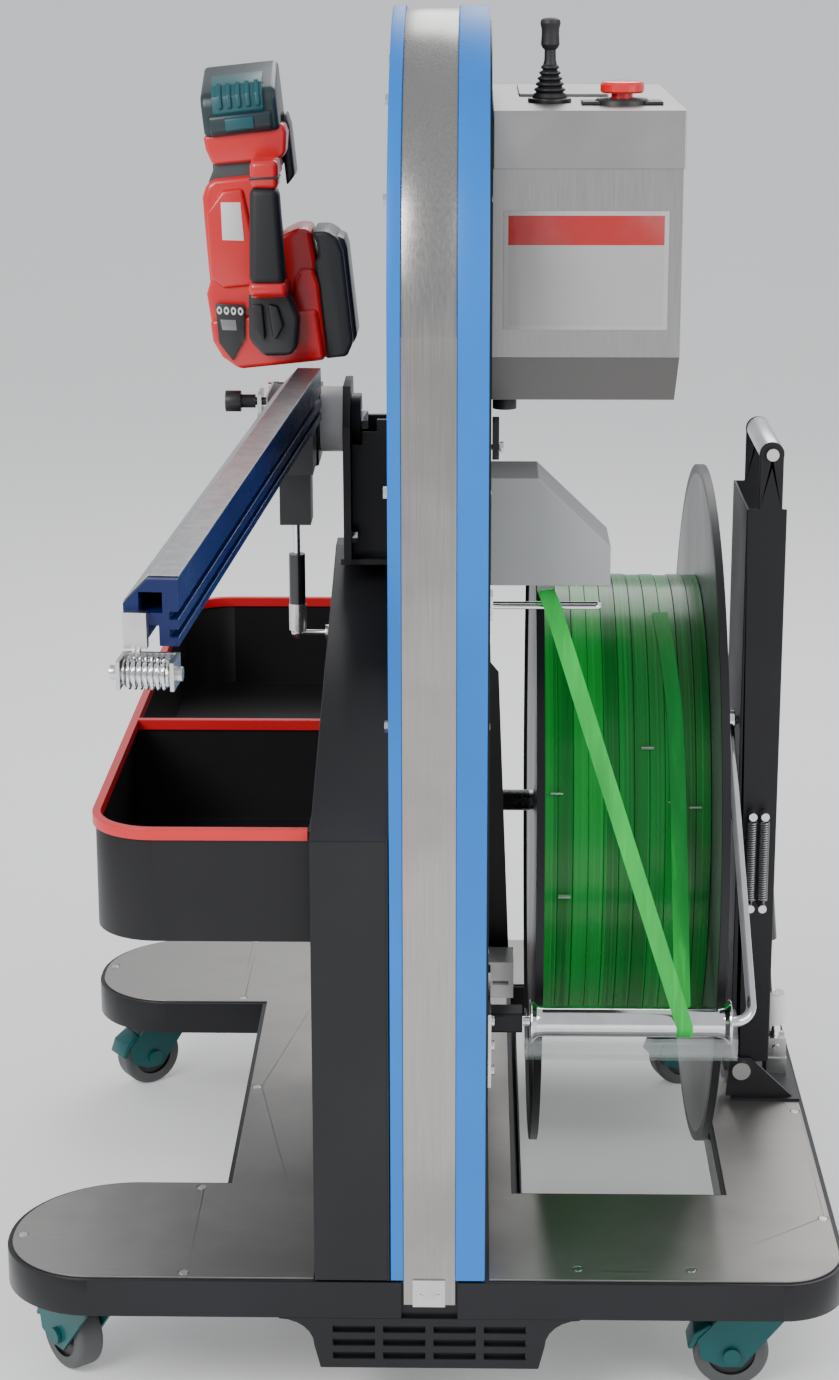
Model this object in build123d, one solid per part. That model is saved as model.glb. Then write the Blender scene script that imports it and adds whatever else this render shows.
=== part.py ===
"""Semi-automatic pallet strapping machine: wheeled deck, lance loop, strap reel and tool arm."""
from build123d import *
import math
import os

# ---- driving dimensions, millimetres: X to the right, Y away from the operator, Z up from the floor ----
clear = 0.3                 # gap between pieces on different bodies
running_gap = 0.06          # radial gap between a shaft and the hole it turns in

deck_width = 823.0
deck_length = 925.0
deck_top = 152.0
deck_bottom = 112.0
deck_sheet = 4.0
deck_plate_thickness = 2.0
deck_screw_radius = 5.0
near_lobe_depth = 215.0
far_lobe_depth = 222.0
lobe_inner_x = -205.0
lobe_tight_radius = 90.0
lobe_wide_radius = 118.0
deck_corner_radius = 65.0
deck_hole_x = (93.0, 302.0)
deck_hole_y = (-267.0, 300.0)

wheel_radius = 37.5
wheel_width = 28.0
caster_x = 335.0
caster_y = 375.0
caster_trail = 30.0
axle_radius = 5.0
caster_yaws = {"near_left": 130.0, "near_right": 180.0, "far_left": 215.0, "far_right": 200.0}

machine_height = 1330.0
loop_depth = 545.0          # outside of the near leg to outside of the far leg
rim_depth = 62.0
left_rim_x = (-30.0, -18.0)
right_rim_x = (32.0, 60.0)
cover_recess = 3.0
cover_thickness = 1.5
tie_bolt_radius = 3.0

housing_x = (-98.0, 100.0)
housing_bottom = 59.0
housing_sheet = 2.5
link_thickness = 20.0
link_width = 42.0
link_pitch = 40.0
link_offset = 22.0          # outside of the loop to the middle of a link
lance_bend_radius = 70.0
lance_height = 84.0
sprocket_radius = 34.0
sprocket_z = 300.0

tower_x = (-103.0, -31.0)
tower_front_height = 595.0
tower_top = 753.0
tower_slope_end = 75.0
tower_far_end = 110.0
sheet = 2.0

tray_left = -309.0
tray_y = (-441.0, 460.0)
tray_bottom = 489.0
tray_rim = 597.0
tray_corner_radius = 60.0
tray_divider_y = -80.0

side_plate_thickness = 2.0
box_x = (62.5, 232.0)
box_y = (-370.0, 18.0)
box_bottom = 987.0
box_taper_top = 1026.0
box_lid_fold = 1194.0
box_top = 1245.0
box_taper = 4.0

strap_cover_y = (-370.0, -287.0)
strap_cover_top = 915.0
strap_cover_right = 173.0
strap_cover_flat_right = 106.0
strap_cover_slope_z = 851.0
strap_cover_bottom = 814.0

reel_y = 52.0
spindle_z = 470.0
spindle_radius = 11.5
spindle_left = 71.0
flange_radius = 370.0
flange_thickness = 4.0
flange_rim_width = 8.0
coil_x = (117.0, 289.0)
coil_radius = 250.0
core_radius = 201.0

arm_x = (331.0, 373.0)
arm_y = (-26.0, 130.0)
arm_wall = 3.0
arm_bottom = 168.0
arm_top = 814.0
arm_pivot_x = 343.0
arm_pivot_z = 186.0
arm_pin_radius = 6.0
handle_x = 356.0
handle_z = 872.0
handle_radius = 12.5

dancer_pivot_y = -4.0
dancer_pivot_z = 580.0
dancer_rod_radius = 5.0
dancer_corner = (321.0, -336.0, 368.0)
dancer_rod_end_x = 97.0
dancer_bend_radius = 20.0
spring_x = (346.0, 359.0)
spring_y = arm_y[0] - 12
spring_z = (379.0, 483.0)
roller_x = (103.0, 300.0)
roller_radius = 15.0
roller_flare_radius = 22.0

damper_x = 388.0
damper_y = 44.0
damper_pivot_z = 186.0
damper_lean = -5.0
damper_stop_length = 34.0
damper_rod_radius = 5.0
damper_tube_radius = 9.0
damper_tube_z = (313.0, 516.0)

tool_pivot_y = 0.0
tool_pivot_z = 904.0
nylon_radius = 34.0
nylon_x = (-113.0, -90.0)
pivot_bore = 8.0
head_x = (-168.0, -114.0)
head_y = (-44.0, 44.0)
head_z = (862.0, 934.0)
rail_origin = (-127.0, 0.0, 966.0)
rail_yaw = -4.6
rail_tilt = 2.2
rail_length = 805.0
rail_far_y = -50.0
rail_half_width = 21.0
rail_height = 52.0
rail_chamfer = 19.0
rail_cover_thickness = 1.5

cradle_ear = 6.5
plunger_y = -8.0
plunger_z = head_z[1] - 10
cradle_hinge = (head_y[1] + 8, head_z[1] - 3)

strut_x = -137.0
strut_ball_x = -112.0
strut_ball_y = -55.0
strut_ball_z = 688.0
strut_tube_radius = 8.5
strut_rod_radius = 3.5
strut_tube_length = 84.0
strut_socket_z = (806.0, 862.0)

tool_base_z = 950.0
tool_hinge_y = 58.0
tool_lean = -6.0
tool_middle_x = -152.0


# ---- shape helpers ----
def block(x0, x1, y0, y1, z0, z1):
    """A box between two corners."""
    size = Box(abs(x1 - x0), abs(y1 - y0), abs(z1 - z0))
    return Pos((x0 + x1) / 2, (y0 + y1) / 2, (z0 + z1) / 2) * size


def rod_x(x0, x1, y, z, radius):
    """A round bar along X."""
    return Pos((x0 + x1) / 2, y, z) * Rot(0, 90, 0) * Cylinder(radius, abs(x1 - x0))


def rod_y(x, y0, y1, z, radius):
    """A round bar along Y."""
    return Pos(x, (y0 + y1) / 2, z) * Rot(90, 0, 0) * Cylinder(radius, abs(y1 - y0))


def rod_z(x, y, z0, z1, radius):
    """A round bar along Z."""
    return Pos(x, y, (z0 + z1) / 2) * Cylinder(radius, abs(z1 - z0))


def hexagon_x(x0, x1, y, z, across):
    """A hexagonal head along X."""
    profile = RegularPolygon(across / 2, 6, major_radius=False)
    return extrude(Plane((x0, y, z), x_dir=(0, 1, 0), z_dir=(1, 0, 0)) * profile, x1 - x0)


def side_outline(points, x0, x1):
    """A plate whose outline is drawn in Y and Z, between two X values."""
    face = make_face(Plane.YZ * Polyline(*points, close=True))
    return Pos(x0, 0, 0) * extrude(face, x1 - x0, dir=(1, 0, 0))


def front_outline(points, y0, y1):
    """A plate whose outline is drawn in X and Z, between two Y values."""
    face = make_face(Polyline(*[(x, 0, z) for x, z in points], close=True))
    return Pos(0, y0, 0) * extrude(face, y1 - y0, dir=(0, 1, 0))


def rounded(solid, radius):
    """A block with its upright edges rounded."""
    return fillet(solid.edges().filter_by(Axis.Z), radius)


def group(shapes):
    """Several separate solids in one node."""
    solids = []
    for shape in shapes:
        solids.extend(shape.solids())
    return Compound(solids)


# ---- deck ----
def lobe(y0, y1, near_radius, far_radius, inset, z0, z1):
    """One rounded left-hand foot of the deck."""
    left = -deck_width / 2 + inset
    slab = block(left, 0, y0 + inset, y1 - inset, z0, z1)
    upright = slab.edges().filter_by(Axis.Z).sort_by(Axis.X)[:2].sort_by(Axis.Y)
    slab = fillet(upright[:1], near_radius - inset)
    upright = slab.edges().filter_by(Axis.Z).sort_by(Axis.X)
    corner = [edge for edge in upright if edge.center().Y > y1 - inset - 1 and edge.center().X < left + 1]
    return fillet(corner, far_radius - inset)


def deck_shape(inset, z0, z1):
    """The deck's outline, drawn in by an inset, between two heights."""
    half_w = deck_width / 2
    half_l = deck_length / 2
    body = block(lobe_inner_x + inset, half_w - inset, -half_l + inset, half_l - inset, z0, z1)
    corners = body.edges().filter_by(Axis.Z).sort_by(Axis.X)[-2:]
    body = fillet(corners, deck_corner_radius - inset)
    tight = min(lobe_tight_radius, near_lobe_depth * 0.42)
    wide = min(lobe_wide_radius, near_lobe_depth * 0.55)
    near = lobe(-half_l, -half_l + near_lobe_depth, tight, wide, inset, z0, z1)
    far = lobe(half_l - far_lobe_depth, half_l, tight, wide, inset, z0, z1)
    hole = block(deck_hole_x[0] - inset, deck_hole_x[1] + inset, deck_hole_y[0] - inset,
                 deck_hole_y[1] + inset, z0 - 1, z1 + 1)
    return body + near + far - hole


frame_top = deck_top - deck_plate_thickness
front_notch = (left_rim_x[1] - 2, right_rim_x[0] + 2)
front_notch_depth = 6.0
far_leg_y = -deck_length / 2 + loop_depth
lance_slot_y = (far_leg_y - rim_depth + 4, far_leg_y - cover_recess - 3)


def deck_frame():
    """Folded and welded chassis: top sheet, skirt all round and cross ribs below."""
    shell = deck_shape(0, deck_bottom, frame_top)
    shell -= deck_shape(deck_sheet, deck_bottom - 1, frame_top - deck_sheet)
    half_l = deck_length / 2
    for y in (deck_hole_y[0] - 28, deck_hole_y[1] + 12):
        for x0, x1 in ((-deck_width / 2 + 40, housing_x[0] - 4), (housing_x[1] + 4, deck_width / 2 - 10)):
            shell += block(x0, x1, y - 3, y + 3, deck_bottom + 6, frame_top - 1)
    for x in (housing_x[0] - 6, housing_x[1] + 2):
        shell += block(x, x + 4, -half_l + 2, deck_hole_y[0] - 1, deck_bottom, frame_top - 1)
        shell += block(x, x + 4, deck_hole_y[1] + 1, half_l - 2, deck_bottom, frame_top - 1)
    for side_x in (-1, 1):
        for side_y in (-1, 1):
            pad_x = side_x * caster_x
            pad_y = side_y * caster_y
            shell += block(pad_x - 32, pad_x + 32, pad_y - 32, pad_y + 32, deck_bottom, deck_bottom + 4)
            shell += block(pad_x - 32, pad_x + 32, pad_y - 2, pad_y + 2, deck_bottom, frame_top - 1)
    shell -= block(front_notch[0], front_notch[1], -half_l - 1, -half_l + front_notch_depth, deck_bottom - 1,
                   frame_top + 1)
    shell += block(front_notch[0] - 4, front_notch[1] + 4, -half_l + front_notch_depth,
                   -half_l + front_notch_depth + 4, deck_bottom, frame_top - 1)
    shell -= block(left_rim_x[1] + 1, right_rim_x[0] - 1, lance_slot_y[0], lance_slot_y[1], frame_top - 8,
                   frame_top + 1)
    return shell


def deck_plate(x0, x1):
    """A brushed cover sheet on the deck between two X values."""
    half_l = deck_length / 2
    sheet_solid = deck_shape(5, frame_top, deck_top)
    for x, y in screw_places():
        sheet_solid -= rod_z(x, y, frame_top - 1, deck_top + 1, deck_screw_radius + clear)
    return sheet_solid & block(x0, x1, -half_l, half_l, frame_top - 1, deck_top + 1)


def deck_plate_left():
    """The plate over both left feet, up to the tower."""
    return deck_plate(-deck_width / 2, tower_x[0] - 1)


def deck_plate_right():
    """The plate round the reel opening."""
    return deck_plate(right_rim_x[1] + 4, deck_width / 2)


def screw_places():
    """Where the deck plate screws are."""
    half_w = deck_width / 2
    half_l = deck_length / 2
    inner = lobe_inner_x
    places = [(-half_w + 14, -half_l + 92), (inner - 25, -half_l + 14), (inner - 25, -half_l + near_lobe_depth - 15)]
    places += [(inner + 12, -8), (inner - 25, half_l - far_lobe_depth + 15), (-half_w + 14, half_l - 105)]
    places += [(inner - 25, half_l - 14), (half_w - 12, -64), (half_w - 12, -half_l + 140), (259, -half_l + 28)]
    places += [(150, -half_l + 28), (half_w - 12, 180), (259, half_l - 28), (150, half_l - 28)]
    return places


def deck_screws():
    """Flat-head screws, sunk flush, that hold the cover plates down."""
    heads = []
    for x, y in screw_places():
        head = rod_z(x, y, frame_top, deck_top - 0.1, deck_screw_radius)
        head = fillet(head.faces().sort_by(Axis.Z)[-1].edges(), 0.8)
        heads.append(head)
    return group(heads)


# ---- under-deck housing ----
def lance_housing():
    """Sheet channel under the deck that the lance runs out through, at the far side."""
    x0, x1 = housing_x
    half_l = deck_length / 2
    shell = block(x0, x1, -half_l + 6, half_l - 2, housing_bottom, deck_bottom)
    shell -= block(x0 + housing_sheet, x1 - housing_sheet, -half_l + 6 + housing_sheet, half_l - 1,
                   housing_bottom + housing_sheet, deck_bottom + 1)
    return shell


def front_apron():
    """The slotted front plate of the housing, with its curved shoulders."""
    x0 = housing_x[0]
    x1 = housing_x[1] + 12
    y = -deck_length / 2
    shoulder = 34.0
    points = [(x0, housing_bottom), (x1, housing_bottom), (x1 + 6, housing_bottom + 24)]
    for step in range(1, 7):
        angle = math.radians(15 * step)
        points.append((x1 + 6 + shoulder * (1 - math.cos(angle)), housing_bottom + 24 + 28 * math.sin(angle)))
    points.append((x1 + 6 + shoulder, deck_bottom))
    points.append((x0 - 6 - shoulder, deck_bottom))
    for step in range(6, 0, -1):
        angle = math.radians(15 * step)
        points.append((x0 - 6 - shoulder * (1 - math.cos(angle)), housing_bottom + 24 + 28 * math.sin(angle)))
    points.append((x0 - 6, housing_bottom + 24))
    clean = []
    for point in points:
        if not clean or math.dist(point, clean[-1]) > 0.5:
            clean.append(point)
    plate = front_outline(clean, y, y + 3)
    slot_rows = 3
    slot_columns = 4
    pitch = (x1 - x0 - 16) / slot_columns
    for row in range(slot_rows):
        z = housing_bottom + 10 + row * 14
        for column in range(slot_columns):
            start = x0 + 12 + column * pitch
            plate -= block(start, start + pitch - 8, y - 1, y + 4, z, z + 7)
    return plate


# ---- casters ----
def caster_plates():
    """Top plates and ball races, bolted under the deck."""
    plates = []
    for side_x in (-1, 1):
        for side_y in (-1, 1):
            x = side_x * caster_x
            y = side_y * caster_y
            plate = block(x - 30, x + 30, y - 30, y + 30, deck_bottom - 3, deck_bottom)
            plate += rod_z(x, y, deck_bottom - 11, deck_bottom - 3, 21)
            plates.append(plate)
    return group(plates)


def caster_fork(x, y, yaw):
    """A swivel fork that covers the upper half of its wheel."""
    top = deck_bottom - 11 - clear
    inner = wheel_width / 2 + 1.5
    cheek_points = [(-24, top), (22, top), (caster_trail + 34, wheel_radius + 16), (caster_trail + 30, wheel_radius - 4),
                    (caster_trail + 10, wheel_radius - 13), (caster_trail - 10, wheel_radius - 13), (-24, top - 22)]
    fork = None
    for side in (-1, 1):
        y0 = inner if side > 0 else -inner - 3
        cheek = front_outline(cheek_points, y0, y0 + 3)
        fork = cheek if fork is None else fork + cheek
    fork += block(-24, 22, -inner - 3, inner + 3, top - 5, top)
    fork -= rod_y(caster_trail, -40, 40, wheel_radius, axle_radius)
    return Pos(x, y, 0) * Rot(0, 0, yaw) * fork


def caster_axle(x, y, yaw):
    """The bolt and nut that hold a wheel in its fork."""
    half = wheel_width / 2 + 4.5
    bolt = rod_y(caster_trail, -half, half, wheel_radius, axle_radius)
    bolt += rod_y(caster_trail, -half - 5, -half, wheel_radius, 8.5)
    bolt += rod_y(caster_trail, half, half + 5, wheel_radius, 8.5)
    return Pos(x, y, 0) * Rot(0, 0, yaw) * bolt


def caster_wheel(x, y, yaw):
    """A wheel with a rounded tread and a plain bore."""
    wheel = rod_y(caster_trail, -wheel_width / 2, wheel_width / 2, wheel_radius, wheel_radius)
    rims = wheel.edges().filter_by(GeomType.CIRCLE)
    wheel = fillet(rims, 5)
    wheel -= rod_y(caster_trail, -40, 40, wheel_radius, axle_radius + running_gap)
    for side in (-1, 1):
        recess = rod_y(caster_trail, side * wheel_width / 2 - 3, side * wheel_width / 2 + 3, wheel_radius, 24)
        recess -= rod_y(caster_trail, -40, 40, wheel_radius, 11)
        wheel -= recess
    return Pos(x, y, 0) * Rot(0, 0, yaw) * wheel


# ---- lance loop ----
loop_near_y = -deck_length / 2
loop_radius = loop_depth / 2
loop_middle_y = loop_near_y + loop_radius
loop_arc_z = machine_height - loop_radius


def loop_face(offset):
    """The inverted-U outline, drawn in from the outside by an offset, down to the deck."""
    radius = loop_radius - offset
    middle = (loop_middle_y, loop_arc_z)
    straight = Rectangle(2 * radius, loop_arc_z - deck_top)
    straight = Pos(middle[0], (loop_arc_z + deck_top) / 2) * straight
    return straight + Pos(*middle) * Circle(radius)


def loop_band(outer_offset, inner_offset, x0, x1):
    """An inverted-U band between two offsets and two X values."""
    band = loop_face(outer_offset) - loop_face(inner_offset)
    band -= Pos(loop_middle_y, deck_top - loop_radius) * Rectangle(2 * loop_depth, 2 * loop_radius)
    solid = extrude(Plane.YZ * band, x1 - x0, dir=(1, 0, 0))
    return Pos(x0, 0, 0) * solid


def loop_places(offset, legs, arc_steps):
    """Points (y, z, angle) round the loop at an offset: leg heights, then steps over the arc."""
    radius = loop_radius - offset
    places = [(loop_middle_y - radius, z) for z in legs]
    for step in range(1, arc_steps):
        angle = math.pi - math.pi * step / arc_steps
        places.append((loop_middle_y + radius * math.cos(angle), loop_arc_z + radius * math.sin(angle)))
    places += [(loop_middle_y + radius, z) for z in reversed(legs)]
    return places


tie_offset = 50.0
tie_places = loop_places(tie_offset, (470.0, 690.0, 910.0), 6)


def magazine_rim(x0, x1):
    """One solid plastic side cheek of the loop, drilled for the tie bolts."""
    rim = loop_band(0, rim_depth, x0, x1)
    for y, z in tie_places:
        rim -= rod_x(x0 - 1, x1 + 1, y, z, tie_bolt_radius + running_gap)
    rim -= rod_x(x0 - 1, x1 + 1, sprocket_y, sprocket_z, 7.5)
    return rim


def magazine_rim_left():
    """The narrow cheek, next to the tower."""
    return magazine_rim(*left_rim_x)


def magazine_rim_right():
    """The wide cheek, on the reel side."""
    return magazine_rim(*right_rim_x)


def magazine_cover():
    """The brushed strip that closes the outside of the loop between the cheeks."""
    x0 = left_rim_x[1]
    x1 = right_rim_x[0]
    strip = loop_band(cover_recess, cover_recess + cover_thickness, x0, x1)
    near = loop_near_y + cover_recess
    strip += block(x0, x1, near, near + cover_thickness, deck_top - 27, deck_top)
    return strip


def inner_guide():
    """The steel channel floor on the inside of the loop."""
    x0 = left_rim_x[1]
    x1 = right_rim_x[0]
    guide = loop_band(rim_depth - 6, rim_depth - 4, x0, x1)
    far_y = far_leg_y - rim_depth + 4
    guide -= block(x0 - 1, x1 + 1, far_y - 4, far_y + 6, sprocket_z - 46, sprocket_z + 46)
    return guide


def tie_bolts():
    """Through bolts with hexagon heads on the left and nuts on the right."""
    bolts = []
    for y, z in tie_places:
        bolt = rod_x(left_rim_x[0], side_plate_x[1] + 0.4, y, z, tie_bolt_radius)
        bolt += hexagon_x(left_rim_x[0] - 5, left_rim_x[0], y, z, 10)
        bolts.append(bolt)
    return group(bolts)


side_plate_x = (right_rim_x[1], right_rim_x[1] + side_plate_thickness)
side_plate_z = (300.0, 1290.0)


def side_plate():
    """The black sheet on the reel side that ties both legs and carries the box and strap guides."""
    radius = loop_radius - 14
    base_z = side_plate_z[0]
    outline = Pos(loop_middle_y, (loop_arc_z + base_z) / 2) * Rectangle(2 * radius, loop_arc_z - base_z)
    outline += Pos(loop_middle_y, loop_arc_z) * Circle(radius)
    plate = Pos(side_plate_x[0], 0, 0) * extrude(Plane.YZ * outline, side_plate_thickness, dir=(1, 0, 0))
    for y, z in tie_places:
        plate -= rod_x(side_plate_x[0] - 1, side_plate_x[1] + 1, y, z, tie_bolt_radius + running_gap)
    return plate


def cover_clamp():
    """The small plate and two screws that pin the strip's lower end to the deck front."""
    near = -deck_length / 2 + cover_recess
    plate = block(-9, 22, near - 2, near, deck_top - 28, deck_top)
    heads = [plate]
    for x in (-2, 15):
        heads.append(rod_y(x, near - 3, near - 2, deck_top - 19, 4.5))
    return group(heads)


# ---- lance and drive ----
lance_leg_y = far_leg_y - link_offset
lance_bend_y = lance_leg_y + lance_bend_radius
lance_bend_z = lance_height + lance_bend_radius
lance_x = ((left_rim_x[1] + right_rim_x[0]) / 2 - link_width / 2, (left_rim_x[1] + right_rim_x[0]) / 2 + link_width / 2)


def link_at(y, z, angle):
    """One chain link, lying along a direction in the Y-Z plane."""
    body = Box(link_width, link_pitch - 6, link_thickness)
    return Pos(sum(lance_x) / 2, y, z) * Rot(math.degrees(angle), 0, 0) * body


def lance_chain():
    """The stored links, up the near leg, over the top and down the far leg to the bend."""
    links = []
    radius = loop_radius - link_offset
    height = 420.0
    while height < loop_arc_z:
        links.append(link_at(loop_middle_y - radius, height, math.pi / 2))
        height += link_pitch
    count = int(math.pi * radius / link_pitch)
    for step in range(1, count):
        angle = math.pi - math.pi * step / count
        y = loop_middle_y + radius * math.cos(angle)
        z = loop_arc_z + radius * math.sin(angle)
        links.append(link_at(y, z, angle + math.pi / 2))
    height = loop_arc_z
    while height > lance_bend_z:
        links.append(link_at(lance_leg_y, height, math.pi / 2))
        height -= link_pitch
    links.append(link_at(lance_bend_y - lance_bend_radius * math.cos(math.radians(50)),
                         lance_bend_z - lance_bend_radius * math.sin(math.radians(50)), math.radians(-40)))
    return group(links)


lance_head_start = lance_bend_y + 24
lance_head_end = deck_length / 2 - 22


def lance_head():
    """The stiff leading length of the lance with its slotted nose that carries the strap end."""
    x0, x1 = lance_x
    half = link_thickness / 2
    head = block(x0, x1, lance_head_start, lance_head_end, lance_height - half, lance_height + half)
    nose = head.edges().filter_by(Axis.X).sort_by(Axis.Y)[-2:]
    head = fillet(nose, 8)
    middle = sum(lance_x) / 2
    head -= block(middle - 9, middle + 9, lance_head_end - 34, lance_head_end - 28, lance_height - 20,
                  lance_height + 20)
    return head


def lance_runner():
    """The low rail that the lance slides out on, on the floor of the housing."""
    x0, x1 = lance_x
    top = lance_height - link_thickness / 2 - clear
    floor = housing_bottom + housing_sheet
    runner = block(x0 - 6, x1 + 6, lance_bend_y + 20, deck_length / 2 - 4, floor, top)
    for x in (x0 - 6, x1 + clear):
        runner += block(x, x + 6 - clear, lance_bend_y + 20, deck_length / 2 - 4, floor, top + 14)
    return runner


sprocket_y = lance_leg_y - link_thickness / 2 - clear - sprocket_radius
sprocket_x = (-8.0, 22.0)
gearbox_x = (-96.0, -40.0)


def drive_sprocket():
    """The toothed wheel that drives the lance, on its own shaft."""
    x0, x1 = sprocket_x
    wheel = rod_x(x0, x1, sprocket_y, sprocket_z, sprocket_radius - 4)
    for tooth in range(12):
        angle = math.radians(30 * tooth + 15)
        y = sprocket_y + (sprocket_radius - 4) * math.cos(angle)
        z = sprocket_z + (sprocket_radius - 4) * math.sin(angle)
        wheel += rod_x(x0, x1, y, z, 3.6)
    wheel += rod_x(gearbox_x[1] + 1, x1 + 4, sprocket_y, sprocket_z, 7)
    return wheel


def drive_motor():
    """The gearbox and its upright motor inside the tower."""
    x0, x1 = gearbox_x
    middle = (x0 + x1) / 2
    unit = block(x0, x1, sprocket_y - 36, sprocket_y + 34, sprocket_z - 36, sprocket_z + 36)
    unit += rod_z(middle, sprocket_y, sprocket_z + 36, sprocket_z + 170, 26)
    return unit


def battery_pack():
    """Two drive batteries standing on the tower floor."""
    x0, x1 = tower_x
    packs = []
    for y0 in (-430.0, -270.0):
        packs.append(block(x0 + 3, x1 - 5, y0, y0 + 150, deck_top + sheet, deck_top + sheet + 95))
    return group(packs)


def drive_controller():
    """The motor controller on the tower's inner wall."""
    x0, x1 = tower_x
    return block(x0 + sheet + 0.5, x0 + 42, -420, -260, 330, 500)


# ---- tower ----
def tower_profile(inset, y0, y1):
    """Corner points of the tower's side, drawn in by an inset."""
    slope = math.atan2(tower_top - tower_front_height, tower_slope_end - y0)
    drop = inset / math.cos(slope)
    y_in = y0 + inset
    front = tower_front_height - drop + inset * math.tan(slope)
    level = tower_top - inset
    join = y_in + (level - front) / math.tan(slope)
    return [(y_in, deck_top + inset), (y_in, front), (join, level), (y1 - inset, level), (y1 - inset, deck_top + inset)]


def tower_body():
    """The folded sheet tower with its sloping top, open towards the loop."""
    x0, x1 = tower_x
    near = -deck_length / 2
    shell = side_outline(tower_profile(0, near, tower_far_end), x0, x1 - sheet)
    shell -= side_outline(tower_profile(sheet, near, tower_far_end), x0 + sheet, x1)
    return shell


def tower_inner_panel():
    """The flat sheet that closes the tower against the loop, with a hole for the drive shaft."""
    x1 = tower_x[1]
    near = -deck_length / 2
    panel = side_outline(tower_profile(0, near, tower_far_end), x1 - sheet, x1)
    for y, z in tie_places:
        panel -= rod_x(x1 - 5, x1 + 5, y, z, 6.5)
    return panel - rod_x(x1 - 5, x1 + 5, sprocket_y, sprocket_z, 9)


def tool_bracket():
    """The gusseted bracket on the tower's top that carries the tool arm's pivot pin."""
    x0 = nylon_x[1] + 1.0
    x1 = tower_x[1]
    base = tower_top
    bracket = block(x0 - 4, x1, -24, 100, base, base + 6)
    bracket += block(x1 - 6, x1, -24, 100, base, base + 175)
    cheek = side_outline([(-36, base + 6), (96, base + 6), (40, base + 190), (-30, base + 190), (-46, base + 150)],
                         x0, x0 + 8)
    bracket += cheek & block(x0 - 1, x1, -60, 200, base, base + 250)
    bracket += block(x0 + 4, x1 - 2, 30, 38, base + 3, base + 150)
    bracket += rod_x(x0, x0 + 18, tool_pivot_y, tool_pivot_z, 27)
    bracket += block(x0 + 6, x1 - 2, -6, 2, base + 3, tool_pivot_z)
    bracket -= rod_x(x0 - 1, x0 + 30, tool_pivot_y, tool_pivot_z, pivot_bore)
    bracket -= rod_x(x0 + 18, x0 + 34, tool_pivot_y, tool_pivot_z, 14)
    for y, z in tie_places:
        bracket -= rod_x(x1 - 8, x1 + 1, y, z, 6.5)
    return bracket


def bracket_screws():
    """Hexagon screws of the tool bracket."""
    x0 = nylon_x[1] + 9.0
    screws = [hexagon_x(x0 + 10, x0 + 17, tool_pivot_y, tool_pivot_z, 19)]
    screws[0] += rod_x(head_x[1] - 18, x0 + 10, tool_pivot_y, tool_pivot_z, pivot_bore - running_gap)
    screws.append(hexagon_x(x0, x0 + 6, 46, tower_top + 60, 11))
    screws.append(hexagon_x(x0, x0 + 6, 46, tower_top + 100, 11))
    screws.append(hexagon_x(x0, x0 + 6, -22, tower_top + 30, 11))
    return group(screws)


# ---- tray ----
def tray_outline(inset, z0, z1):
    """The tray's outside with two rounded left corners, drawn in by an inset."""
    slab = block(tray_left + inset, tower_x[0], tray_y[0] + inset, tray_y[1] - inset, z0, z1)
    corners = slab.edges().filter_by(Axis.Z).sort_by(Axis.X)[:2]
    return fillet(corners, tray_corner_radius - inset)


def tray():
    """The two-compartment tool tray hung on the tower's left side."""
    shell = tray_outline(0, tray_bottom, tray_rim)
    pocket = tray_outline(sheet, tray_bottom + sheet, tray_rim + 1)
    pocket &= block(tray_left, tower_x[0] - sheet, tray_y[0], tray_y[1], tray_bottom, tray_rim + 2)
    shell -= pocket
    shell += block(tray_left + 1, tower_x[0] - 1, tray_divider_y - 1, tray_divider_y + 1, tray_bottom + 1,
                   tray_rim - 2)
    return shell


trim_width = 8.0
trim_depth = 11.0


def tray_trim():
    """The soft edging pushed onto the tray's rim and its divider."""
    top = tray_rim + 3
    bottom = top - trim_depth
    grow = (trim_width - sheet) / 2
    ring = tray_outline(-grow, bottom, top) - tray_outline(sheet + grow, bottom - 1, top + 1)
    ring += block(tray_left + 4, tower_x[0] - 1, tray_divider_y - trim_width / 2, tray_divider_y + trim_width / 2,
                  bottom, top)
    ring &= block(tray_left - 20, tower_x[0] - sheet - 0.2, tray_y[0] - 20, tray_y[1] + 20, bottom - 5, top + 5)
    ring -= tray_outline(0, bottom - 5, tray_rim) - tray_outline(sheet, bottom - 6, tray_rim + 1)
    ring -= block(tray_left - 1, tower_x[0], tray_divider_y - 1, tray_divider_y + 1, bottom - 5, tray_rim - 2)
    return ring


# ---- control box ----
def control_box():
    """The stainless box body with its tapered dark foot band, open at the top."""
    x0, x1 = box_x
    y0, y1 = box_y
    wall = 1.5
    shell = block(x0, x1, y0, y1, box_taper_top, box_top - 3)
    taper_points = [(x0, box_taper_top), (x1, box_taper_top), (x1 - box_taper, box_bottom), (x0, box_bottom)]
    shell += front_outline(taper_points, y0 + 2, y1)
    shell -= block(x0 + wall, x1 - wall, y0 + wall, y1 - wall, box_taper_top, box_top)
    shell -= block(x0 + wall, x1 - box_taper - wall, y0 + 2 + wall, y1 - wall, box_bottom + wall, box_taper_top + 1)
    return shell


lid_sheet = 1.5


def control_lid():
    """The lid with its folded skirt, cut for the lever and the switch."""
    x0, x1 = box_x
    y0, y1 = box_y
    lid = block(x0, x1 + lid_sheet, y0 - lid_sheet, y1 + lid_sheet, box_lid_fold, box_top)
    lid -= block(x0 - 1, x1, y0, y1, box_lid_fold - 1, box_top - lid_sheet)
    lid -= rod_z(joystick_x, joystick_y, box_top - 10, box_top + 5, joystick_bezel_radius - 4)
    lid -= rod_z(switch_x, switch_y, box_top - 10, box_top + 5, 11)
    return lid


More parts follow.
